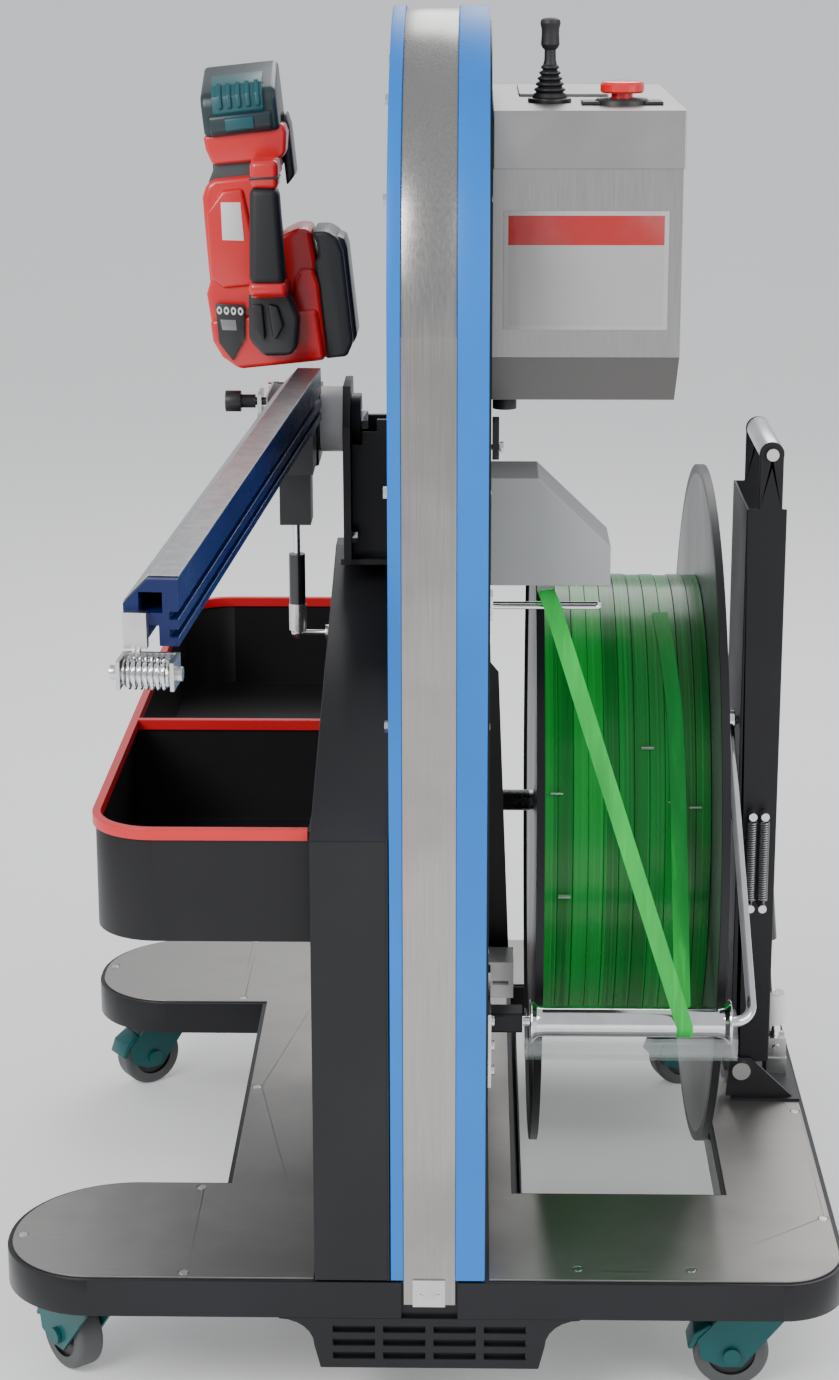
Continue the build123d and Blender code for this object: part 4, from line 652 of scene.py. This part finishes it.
def strap_path():
    """The strap's way from the coil, down behind the roller, under it and up to the hairpin."""
    reach = ROLLER_RADIUS + STRAP_THICKNESS / 2
    centre = Vector((0, roller_middle.y, roller_middle.z))
    across = Vector((0, coil_middle.y, coil_middle.z)) - centre
    offset = coil_radius + STRAP_LIFT + reach
    slope = math.atan2(across.z, across.y) + math.asin(offset / across.length)
    length = math.sqrt(across.length ** 2 - offset ** 2)
    x = roller_high.x - 46 * MM
    path = []
    for step in range(6):
        angle = slope + math.pi / 2 - math.radians(6 * (6 - step))
        radius = coil_radius + STRAP_LIFT
        path.append(((x - 2 * MM * (6 - step), coil_middle.y + radius * math.cos(angle),
                      coil_middle.z + radius * math.sin(angle)), (0, math.cos(angle), math.sin(angle))))
    for step in range(1, 10):
        share = step / 10
        start = centre + Vector((0, math.sin(slope), -math.cos(slope))) * reach
        spot = start + Vector((0, math.cos(slope), math.sin(slope))) * length * (1 - share)
        path.append(((x, spot.y, spot.z), (0, -math.sin(slope), math.cos(slope))))
    turn = slope - math.pi / 2
    for step in range(13):
        angle = turn + (-math.pi - turn) * step / 12
        path.append(((x, centre.y + reach * math.cos(angle), centre.z + reach * math.sin(angle)),
                     (0, -math.cos(angle), -math.sin(angle))))
    foot = Vector((x, centre.y - reach, centre.z))
    tip = Vector((guide_low.x + 0.058, guide_low.y - 2 * MM, guide_high.z - 0.008))
    for step in range(1, 13):
        share = step / 12
        spot = foot.lerp(tip, share)
        path.append(((spot.x, spot.y - 5 * MM * math.sin(math.pi * share), spot.z), (0, 1, 0)))
    path.append(((tip.x - 6 * MM, tip.y + 5 * MM, tip.z + 13 * MM), (0, 0.6, -0.8)))
    path.append(((tip.x - 6 * MM, tip.y + 30 * MM, tip.z + 16 * MM), (0, 0, -1)))
    return path


finish_piece(ribbon("free_strap", strap_path(), STRAP_WIDTH, STRAP_THICKNESS), strap_bright, "reel_arm",
             ("strap_run",))


# ---- dancer ----
dancer_low, dancer_high, _ = place("dancer_arm")
springs_low, springs_high, springs_middle = place("dancer_springs")
ROD = 5 * MM


def bent_rod():
    """The bent chrome rod: down from its eye, round a bend and along under the coil, with its eye."""
    corner_x = dancer_high.x - 6 * MM
    corner = Vector((corner_x, roller_middle.y, roller_middle.z))
    top = Vector((corner_x, dancer_high.y - 11 * MM, dancer_high.z - 11 * MM))
    free = Vector((dancer_low.x, corner.y, corner.z))
    bend = 20 * MM
    along_a = (top - corner).normalized()
    along_b = (free - corner).normalized()
    hub = corner + (along_a + along_b) * bend
    path = [top]
    for step in range(11):
        angle = math.pi / 2 * step / 10
        path.append(hub - along_b * bend * math.cos(angle) - along_a * bend * math.sin(angle))
    path.append(free)
    rod = wire("bent_rod", path, ROD)
    eye = turned("rod_eye",
                 [(-6 * MM, 5.1 * MM), (-6 * MM, 10 * MM), (-5 * MM, 11 * MM), (5 * MM, 11 * MM),
                  (6 * MM, 10 * MM), (6 * MM, 5.1 * MM)], top, "x", 32)
    return joined("bent_rod", rod, eye)


finish_piece(bent_rod(), chrome, "dancer", ("dancer_arm",), 40)


def clear_lip():
    """The bent clear sheet in front of and under the roller, with its two cheeks."""
    x0, x1 = roller_low.x - 5 * MM, roller_high.x + 5 * MM
    y, z = roller_middle.y, roller_middle.z
    fold = [(y - 27 * MM, z - 8 * MM), (y - 27 * MM, z - 26 * MM), (y - 21 * MM, z - 32 * MM),
            (y + 18 * MM, z - 32 * MM), (y + 18 * MM, z - 29 * MM), (y - 20 * MM, z - 29 * MM),
            (y - 24 * MM, z - 25 * MM), (y - 24 * MM, z - 8 * MM)]
    lip = outline_block("clear_lip", fold, x0, x1, "x", 0.4 * MM, 2)
    cheeks = []
    for x in (x0, x1 - 3 * MM):
        outline = [(y - 27 * MM, z - 10 * MM), (y - 27 * MM, z - 26 * MM), (y - 21 * MM, z - 32 * MM),
                   (y + 18 * MM, z - 32 * MM), (y + 14 * MM, z + 8 * MM), (y - 8 * MM, z + 10 * MM)]
        cheeks.append(outline_block("clear_cheek", outline, x, x + 3 * MM, "x", 0.4 * MM, 2))
    return joined("clear_lip", lip, *cheeks)


finish_piece(clear_lip(), clear_guard(), "dancer")


def roller_flange(side):
    """A turned flare and locking collar at one end of the roller."""
    x = roller_low.x if side < 0 else roller_high.x
    profile = [(0, ROLLER_BORE), (0, 20.5 * MM), (1.2 * MM, 21.8 * MM), (2.6 * MM, 21.4 * MM),
               (7 * MM, 16.6 * MM), (FLARE_LENGTH, 15.3 * MM), (14 * MM, 15.3 * MM), (14 * MM, ROLLER_BORE)]
    piece = turned("flare", profile, (0, 0, 0), "x", 48)
    if side > 0:
        moved(piece, Matrix.Scale(-1, 4, (1, 0, 0)))
        choose(piece)
        bpy.ops.object.mode_set(mode="EDIT")
        bpy.ops.mesh.select_all(action="SELECT")
        bpy.ops.mesh.normals_make_consistent(inside=False)
        bpy.ops.object.mode_set(mode="OBJECT")
    return moved(piece, Matrix.Translation((x, roller_middle.y, roller_middle.z)))


def flared_roller():
    """The chrome roller: a long barrel between two flares."""
    left, right = roller_low.x + FLARE_LENGTH, roller_high.x - FLARE_LENGTH
    section = [(left, ROLLER_BORE), (left, ROLLER_RADIUS), (right, ROLLER_RADIUS), (right, ROLLER_BORE)]
    barrel = turned("barrel", section, (0, roller_middle.y, roller_middle.z), "x", 48)
    return joined("flared_roller", barrel, roller_flange(-1), roller_flange(1))


finish_piece(flared_roller(), chrome, "dancer_roller", ("dancer_roller",), 30)


def extension_spring(name, x, low, high, y):
    """A close-wound spring with a hook at each end."""
    coil_r, wire_r = 5.0 * MM, 1.0 * MM
    start, end = low + 8 * MM, high - 8 * MM
    turns = 34
    path = [(x, y, low + 1 * MM), (x + 2 * MM, y, low + 3 * MM), (x + 1 * MM, y, start - 2 * MM)]
    for step in range(turns * 12 + 1):
        angle = 2 * math.pi * step / 12
        height = start + (end - start) * step / (turns * 12)
        path.append((x + coil_r * math.cos(angle), y + coil_r * math.sin(angle), height))
    path += [(x + 1 * MM, y, end + 2 * MM), (x + 2 * MM, y, high - 3 * MM), (x, y, high - 1 * MM)]
    return wire(name, path, wire_r)


SPRING_INSET = 6 * MM
HOOK_REACH = 5 * MM
spring_pair = []
for name, x in (("spring_a", springs_low.x + SPRING_INSET), ("spring_b", springs_high.x - SPRING_INSET)):
    spring_pair.append(extension_spring(name, x, springs_low.z - HOOK_REACH, springs_high.z + HOOK_REACH,
                                        springs_middle.y))
spring_steel = bare_metal("spring_steel", (0.30, 0.30, 0.31), 0.3)
finish_piece(joined("dancer_spring_pair", *spring_pair), spring_steel, "reel_arm",
             ("dancer_springs",), 60)


# ---- lever, switch and plates on the control box ----
_, lever_high, lever_middle = place("joystick_lever")
_, switch_high, switch_middle = place("switch_button")


def lever():
    """The lever: a folded rubber boot, a ribbed neck and a rounded knob."""
    base = lid_high.z - 3 * MM
    top = lever_high.z
    profile = [(base, 0.0), (base, 15.2 * MM), (base + 3 * MM, 16.0 * MM), (base + 6 * MM, 14.6 * MM)]
    for fold in range(5):
        z = base + 6 * MM + fold * 5 * MM
        radius = 14.8 * MM - fold * 1.5 * MM
        profile += [(z + 1.2 * MM, radius - 2.4 * MM), (z + 3.2 * MM, radius - 0.2 * MM),
                    (z + 4.4 * MM, radius - 0.6 * MM)]
    z = base + 32 * MM
    profile += [(z, 6.4 * MM), (z + 4 * MM, 5.4 * MM), (top - 29 * MM, 5.2 * MM), (top - 27 * MM, 7.2 * MM),
                (top - 24 * MM, 8.6 * MM), (top - 14 * MM, 8.0 * MM), (top - 10 * MM, 8.2 * MM),
                (top - 5 * MM, 9.4 * MM), (top - 2 * MM, 8.6 * MM), (top - 0.4 * MM, 5.5 * MM), (top, 0.0)]
    return turned("lever", profile, (lever_middle.x, lever_middle.y, 0), "z", 40)


finish_piece(lever(), rubber, "joystick", ("joystick_lever",), 28)


def switch_base():
    """The black collar and its moulded wings round the stop button."""
    z = lid_high.z - 5 * MM
    ring = turned("switch_ring",
                  [(z, 11 * MM), (z, 25 * MM), (z + 4 * MM, 24.4 * MM), (z + 5.6 * MM, 22.6 * MM),
                   (z + 5.6 * MM, 12 * MM)], (switch_middle.x, switch_middle.y, 0), "z", 48)
    wings = []
    for x in (switch_middle.x - 37 * MM, switch_middle.x + 20 * MM):
        wings.append(rounded_block("switch_wing", (x, switch_middle.y - 16 * MM, z - 0.2 * MM),
                                   (x + 17 * MM, switch_middle.y + 16 * MM, z + 3.4 * MM), 1.4 * MM, 3))
    return joined("switch_base", ring, *wings)


finish_piece(switch_base(), black_plastic, "root")


def stop_cap():
    """The mushroom button: a ribbed rim and a slightly hollow top."""
    low, high = switch_high.z - 11 * MM, switch_high.z
    cap = turned("stop_cap",
                 [(low - 5 * MM, 0.0), (low - 5 * MM, 9.8 * MM), (low, 9.8 * MM),
                  (low + 0.4 * MM, 18.6 * MM), (low + 2 * MM, 20 * MM), (high - 3 * MM, 20 * MM),
                  (high - 0.8 * MM, 18.4 * MM), (high, 15 * MM), (high - 0.8 * MM, 8 * MM),
                  (high - 1.2 * MM, 0.0)], (switch_middle.x, switch_middle.y, 0), "z", 48)
    return cap


finish_piece(stop_cap(), switch_red, "stop_switch", ("switch_button",), 30)


SIGN_LEFT, SIGN_RIGHT = 10 * MM, 12 * MM
SIGN_BOTTOM, SIGN_TOP = 64 * MM, 170 * MM
SIGN_HEAD = 140 * MM
SIGN_EDGE = 4 * MM


def sign_plate():
    """A blank riveted plate on the front of the box, with a plain coloured head band."""
    y = box_low.y
    plate = rounded_block("sign_plate", (box_low.x + SIGN_LEFT, y - 0.8 * MM, box_low.z + SIGN_BOTTOM),
                          (box_high.x - SIGN_RIGHT, y + 0.2 * MM, box_low.z + SIGN_TOP), 0.35 * MM, 2)
    f = Finish("sign_finish", coat_weight=0.5)
    head = f.z.ramp(box_low.z + SIGN_HEAD - 0.5 * MM, box_low.z + SIGN_HEAD)
    cloud = f.noise(14.0, 3.0)
    tone = f.mix(head, (0.36, 0.355, 0.345), (0.38, 0.012, 0.012))
    inner = f.region((box_low.x + SIGN_LEFT + SIGN_EDGE, y - 0.01, box_low.z + SIGN_BOTTOM + SIGN_EDGE),
                     (box_high.x - SIGN_RIGHT - SIGN_EDGE, y + 0.01, box_low.z + SIGN_TOP - SIGN_EDGE))
    f.feed("Base Color",
           f.mix(cloud.ramp(0.4, 0.8) * 0.2, f.mix(inner, (0.40, 0.39, 0.38), tone), (0.35, 0.34, 0.33)))
    f.feed("Roughness", 0.3 + cloud * 0.12)
    return finish_piece(plate, f, "root")


sign_plate()


# ---- strapping tool ----
ring_low, _, ring_middle = place("nylon_ring")
TOOL_BESIDE_RING = 39 * MM
TOOL_OVER_RING = 46 * MM
TOOL_LEAN = math.radians(-6)
TOOL_BASE = Vector((ring_low.x - TOOL_BESIDE_RING, ring_middle.y, ring_middle.z + TOOL_OVER_RING))
TOOL_PLACE = Matrix.Translation(TOOL_BASE) @ Matrix.Rotation(TOOL_LEAN, 4, "Y")
TOOL_SMOOTH = 40  # degrees


def scaled(points):
    """Outline points from millimetres to metres."""
    return [(u * MM, v * MM) for u, v in points]


def tool_part(name, points, y0, y1, finish, round_by=4.0, steps=4, body="tool",
              stands_for=()):
    """One moulding of the tool, drawn from the front and given its depth."""
    piece = outline_block(name, scaled(points), y0 * MM, y1 * MM, "y", round_by * MM, steps)
    moved(piece, TOOL_PLACE)
    return finish_piece(piece, finish, body, stands_for, TOOL_SMOOTH)


NOSE = [(-44, 12), (-60, 26), (-68, 44), (-68, 66), (44, 66), (46, 12)]
BARREL = [(-67, 40), (-69, 92), (-64, 104), (-63, 140), (-61, 190), (-55, 204), (-46, 208), (4, 208),
          (12, 198), (12, 40)]
tool_part("tool_nose", NOSE, -11, 86, tool_red, 5, 4, stands_for=("tool_housing",))
tool_part("tool_barrel", BARREL, -5, 80, tool_red, 9, 5)
tool_part("tool_cheek", [(-62, 108), (-58, 176), (-40, 196), (-18, 196), (-10, 120), (-14, 96), (-50, 96)],
          -9, 6, tool_red, 4, 4)
tool_part("tool_gear_bulge", [(4, 12), (4, 132), (14, 143), (32, 149), (45, 146), (47, 118), (47, 12)], 3,
          84, tool_red, 5, 4)
tool_part("tool_front_bulge", [(16, 14), (22, 96), (30, 108), (44, 106), (48, 92), (48, 14)], -7, 10,
          tool_red, 4, 4)
tool_part("tool_side_cover",
          [(45, 12), (45, 112), (50, 118), (50, 132), (46, 144), (62, 143), (72, 135), (76, 120), (76, 26),
           (68, 12)], 0, 90, dark_cover, 5, 4, stands_for=("tool_covers",))
tool_part("tool_cover_rib", [(70, 96), (70, 136), (78, 132), (80, 122), (80, 30), (74, 22)], 14, 78,
          dark_cover, 2.5, 3)
tool_part("tool_neck", [(-54, 203), (-47, 216), (-46, 228), (22, 228), (24, 214), (14, 203)], 0, 74,
          neck_grey, 3, 3)
tool_part("tool_collar", [(-46, 222), (-51, 238), (-52, 252), (31, 256), (33, 246), (30, 226), (24, 221)],
          -8, 82, tool_red, 4, 4)
tool_part("tool_collar_back", [(24, 190), (24, 258), (31, 264), (34, 250), (34, 200)], 30, 80, dark_cover, 3,
          3)


def battery():
    """The pack: a sloping top, a ribbed latch, its catch button and side rails."""
    side = scaled([(-12, 250), (-14, 262), (-14, 284), (-9, 293), (66, 316), (78, 315), (80, 300),
                   (80, 250)])
    pack = outline_block("battery_pack", side, -50 * MM, 27 * MM, "x", 5 * MM, 4)
    foot = outline_block("battery_foot",
                         scaled([(-12, 250), (-17, 256), (-17, 270), (-10, 274), (20, 274), (20, 250)]),
                         -44 * MM, 21 * MM, "x", 3 * MM, 3)
    lid = outline_block("battery_lid",
                        scaled([(-4, 290), (4, 297), (60, 314), (66, 311), (60, 305), (0, 286)]), -40 * MM,
                        17 * MM, "x", 1.5 * MM, 2)
    whole = moved(joined("battery_pack", pack, foot, lid), TOOL_PLACE)
    finish_piece(whole, battery_dark, "battery", ("tool_battery",))
    latch = outline_block("battery_latch",
                          scaled([(-15, 270), (-19, 274), (-18, 289), (-8, 300), (22, 309), (24, 303),
                                  (-8, 288), (-13, 282)]), -38 * MM, 14 * MM, "x", 1.2 * MM, 2)
    ribs = []
    for k in range(5):
        x = (-32 + 9.6 * k) * MM
        ribs.append(outline_block("latch_rib",
                                  scaled([(-19, 276), (-21.5, 279), (-20.5, 290), (-9, 302.5), (-6, 302),
                                          (-15, 288)]), x, x + 4.4 * MM, "x", 0.8 * MM, 2))
    button = outline_block("catch_button", scaled([(-17, 254), (-19, 256), (-19, 266), (-17, 268)]),
                           -27 * MM, 2 * MM, "x", 0.7 * MM, 2)
    finish_piece(moved(joined("battery_latch", latch, button, *ribs), TOOL_PLACE), battery_teal, "battery")


battery()
tool_part("grip_top_band", [(-6, 199), (-4, 226), (25, 224), (22, 195)], -58, -28, tool_red, 6, 4)
tool_part("grip_top_arm", [(-4, 209), (-4, 227), (24, 225), (24, 207)], -40, 2, tool_red, 4, 3)
tool_part("grip_ring", [(-6.5, 207), (-6.3, 210), (24, 208), (23.8, 205)], -58.6, -27.4, dark_cover, 1, 2)
tool_part("grip_rubber", [(-19, 103), (-7, 200), (22, 196), (18, 99)], -59, -29, rubber, 8, 5,
          stands_for=("tool_grip",))
tool_part("grip_low_band", [(-21, 91), (-19.5, 106), (18.5, 102), (19, 88)], -58, -26, tool_red, 6, 4)
tool_part("grip_low_arm", [(-19, 86), (-18, 104), (17, 101), (17, 84)], -38, 0, tool_red, 4, 3)
tool_part("trigger_pod", [(-23, 92), (19, 88), (26, 62), (20, 30), (12, 24), (-15, 26), (-28, 44)], -34, -8,
          dark_cover, 5, 4)
tool_part("feed_button", [(-20, 81), (-9.5, 80), (-10.5, 44), (-14, 43), (-21, 56)], -41, -30, black_plastic,
          3, 4, "feed_trigger", ("tool_feed_trigger",))
tool_part("seal_button", [(-4, 80), (6, 77), (10, 56), (1, 43), (-3, 45)], -41, -30, black_plastic, 3, 4,
          "seal_trigger", ("tool_seal_trigger",))
tool_part("display_panel", [(-60, 83), (-30, 78), (-34, 44), (-49, 22), (-61, 42)], -14.5, -10, dark_cover,
          0.8, 2)
lcd = moulded("lcd_grey", (0.20, 0.21, 0.20), 0.2, 400.0, 0.02, coat_weight=0.6)
tool_part("display_window", [(-57, 66), (-41, 64), (-41, 53), (-56, 55)], -15.1, -14, lcd, 0.3, 2)
key_white = moulded("key_white", (0.72, 0.72, 0.70), 0.4, 400.0, 0.05)
for k in range(4):
    x, z = -56.5 + 7.2 * k, 75.5 - 1.1 * k
    key = turned("key_%d" % k, scaled([(-0.4, 1.3), (-0.7, 1.6), (-0.7, 2.6), (0.4, 2.9), (0.4, 1.1)]),
                 (0, 0, 0), "y", 28)
    moved(key, TOOL_PLACE @ Matrix.Translation((x * MM, -14.6 * MM, z * MM))
          @ Matrix.Scale(1.5, 4, (0, 0, 1)))
    finish_piece(key, key_white, "tool")
tool_part("blank_label", [(-45, 146), (-42, 184), (-22, 182), (-23, 143)], -9.5, -8.4, key_white, 0.3, 2)
tool_part("vent_slots", [(-68, 60), (-66, 61), (-66, 84), (-68, 85)], 20, 60, dark_cover, 0.4, 2)


# ---- end of the tool rail ----
_, _, stop_middle = place("stop_roller")
RAIL_YAW = math.radians(-4.6)
RAIL_PITCH = math.radians(2.2)
RAIL_TURN = (Matrix.Translation(stop_middle) @ Matrix.Rotation(RAIL_YAW, 4, "Z")
             @ Matrix.Rotation(RAIL_PITCH, 4, "X"))
SPRUNG_HALF = 17.4 * MM
RING_RADIUS = 12.9 * MM
RINGS = 7


def sprung_roller():
    """The end roller: a thin core with end caps inside a row of sprung wire rings."""
    wire_radius = 1.3 * MM
    core = turned("roller_core",
                  [(-SPRUNG_HALF, 3.2 * MM), (-SPRUNG_HALF, 10 * MM), (-SPRUNG_HALF + 1.5 * MM, 11 * MM),
                   (-SPRUNG_HALF + 3 * MM, 8.6 * MM), (SPRUNG_HALF - 3 * MM, 8.6 * MM),
                   (SPRUNG_HALF - 1.5 * MM, 11 * MM), (SPRUNG_HALF, 10 * MM), (SPRUNG_HALF, 3.2 * MM)],
                  (0, 0, 0), "x", 40)
    rings = [core]
    pitch = 2 * (SPRUNG_HALF - 4 * MM) / (RINGS - 1)
    for k in range(RINGS):
        bpy.ops.object.select_all(action="DESELECT")
        bpy.ops.mesh.primitive_torus_add(major_radius=RING_RADIUS - wire_radius, minor_radius=wire_radius,
                                         major_segments=40, minor_segments=8, rotation=(0, math.pi / 2, 0))
        ring = settle(bpy.context.object)
        moved(ring, Matrix.Translation((-SPRUNG_HALF + 4 * MM + pitch * k, 0, 0))
              @ Matrix.Rotation(math.radians(4), 4, "Z"))
        rings.append(ring)
    return moved(joined("sprung_roller", *rings), RAIL_TURN)


finish_piece(sprung_roller(), chrome, "stop_roller", ("stop_roller",), 40)


# ---- casters ----
CASTER_TRAIL = 30  # millimetres
race_brass = bare_metal("race_plate", (0.46, 0.38, 0.22), 0.32)
for corner, yaw in (("near_left", 130), ("near_right", 180), ("far_left", 215), ("far_right", 200)):
    _, fork_high, _ = place("caster_fork_" + corner)
    _, _, wheel_middle = place("caster_wheel_" + corner)
    direction = Vector((math.cos(math.radians(yaw)), math.sin(math.radians(yaw)), 0))
    swivel = Vector((wheel_middle.x, wheel_middle.y, 0)) - direction * CASTER_TRAIL * MM
    to_fork = Matrix.Translation(swivel) @ Matrix.Rotation(math.radians(yaw), 4, "Z")
    top = fork_high.z
    head = turned("swivel_head",
                  [(top - 12 * MM, 0), (top - 12 * MM, 24 * MM), (top - 6 * MM, 27 * MM),
                   (top - 2 * MM, 25 * MM), (top, 20 * MM), (top, 0)], swivel, "z", 40)
    head.name = "swivel_head_" + corner
    finish_piece(head, caster_green, "caster_" + corner)
    race = turned("race",
                  [(top - 1 * MM, 20 * MM), (top - 1 * MM, 29 * MM), (top + 1.5 * MM, 30 * MM),
                   (top + 3 * MM, 27 * MM), (top + 3 * MM, 20 * MM)], swivel, "z", 40)
    race.name = "race_" + corner
    finish_piece(race, race_brass, "caster_" + corner)
    brake = outline_block("brake",
                          scaled([(18, 62), (52, 70), (68, 60), (74, 44), (70, 42), (62, 54), (50, 62),
                                  (18, 54)]), -17 * MM, 17 * MM, "y", 2 * MM, 3)
    brake.name = "brake_" + corner
    finish_piece(moved(brake, to_fork), caster_green, "caster_" + corner)
    hub = turned("hub",
                 scaled([(-18.6, 0), (-18.6, 5), (-15.5, 10), (-12, 12), (12, 12), (15.5, 10), (18.6, 5),
                         (18.6, 0)]), (0, 0, 0), "y", 32)
    hub.name = "hub_" + corner
    finish_piece(moved(hub, Matrix.Translation(wheel_middle) @ Matrix.Rotation(math.radians(yaw), 4, "Z")),
                 zinc, "caster_" + corner)


# ---- room, light and camera ----
FLOOR_SIZE = 240.0
SKY_COLOUR = (0.94, 0.96, 1.0, 1.0)
SKY_STRENGTH = 0.7
LENS = 72.42
CAMERA_ASIDE, CAMERA_BACK, CAMERA_HEIGHT = 0.0477, 2.8681, 1.4121
CAMERA_DOWN, CAMERA_ROLL, CAMERA_YAW = 15.6206, 0.09, 1.1467  # degrees


def room():
    """A wide pale floor under an even white sky."""
    bpy.ops.object.select_all(action="DESELECT")
    bpy.ops.mesh.primitive_plane_add(size=FLOOR_SIZE, location=(0, 0, 0))
    floor = settle(bpy.context.object, "floor")
    f = Finish("floor_finish", 0.8, emission_strength=0.2, emission_color=(1.0, 1.0, 1.0, 1.0))
    f.feed("Base Color", f.mix(f.noise(2.0, 2.0), (0.86, 0.86, 0.86), (0.90, 0.90, 0.90)))
    floor.data.materials.append(f.material)
    world = bpy.data.worlds.new("studio")
    bpy.context.scene.world = world
    world.use_nodes = True
    world.node_tree.nodes["Background"].inputs[0].default_value = SKY_COLOUR
    world.node_tree.nodes["Background"].inputs[1].default_value = SKY_STRENGTH


def soft_light(name, spot, target, size, power):
    """A large square soft box."""
    data = bpy.data.lights.new(name, "AREA")
    data.shape = "SQUARE"
    data.size = size
    data.energy = power
    lamp = bpy.data.objects.new(name, data)
    bpy.context.collection.objects.link(lamp)
    lamp.location = spot
    lamp.rotation_euler = (Vector(target) - Vector(spot)).to_track_quat("-Z", "Y").to_euler()


def camera():
    """The camera in front of the machine, a little above it and turned very slightly."""
    _, _, deck_middle = place("deck_frame")
    data = bpy.data.cameras.new("camera")
    data.sensor_fit = "AUTO"
    data.sensor_width = 36.0
    data.lens = LENS
    view = bpy.data.objects.new("camera", data)
    bpy.context.collection.objects.link(view)
    view.location = (deck_middle.x + CAMERA_ASIDE, deck_middle.y - CAMERA_BACK, CAMERA_HEIGHT)
    view.rotation_euler = (math.radians(90 - CAMERA_DOWN), math.radians(CAMERA_ROLL),
                           math.radians(CAMERA_YAW))
    bpy.context.scene.camera = view


room()
soft_light("key", (-2.2, -2.6, 2.9), (0, 0, 0.7), 1.8, 120)
soft_light("fill", (2.6, -2.0, 2.2), (0, 0, 0.6), 2.4, 60)
soft_light("back", (0.6, 2.8, 3.0), (0, 0.2, 0.8), 2.0, 45)
camera()
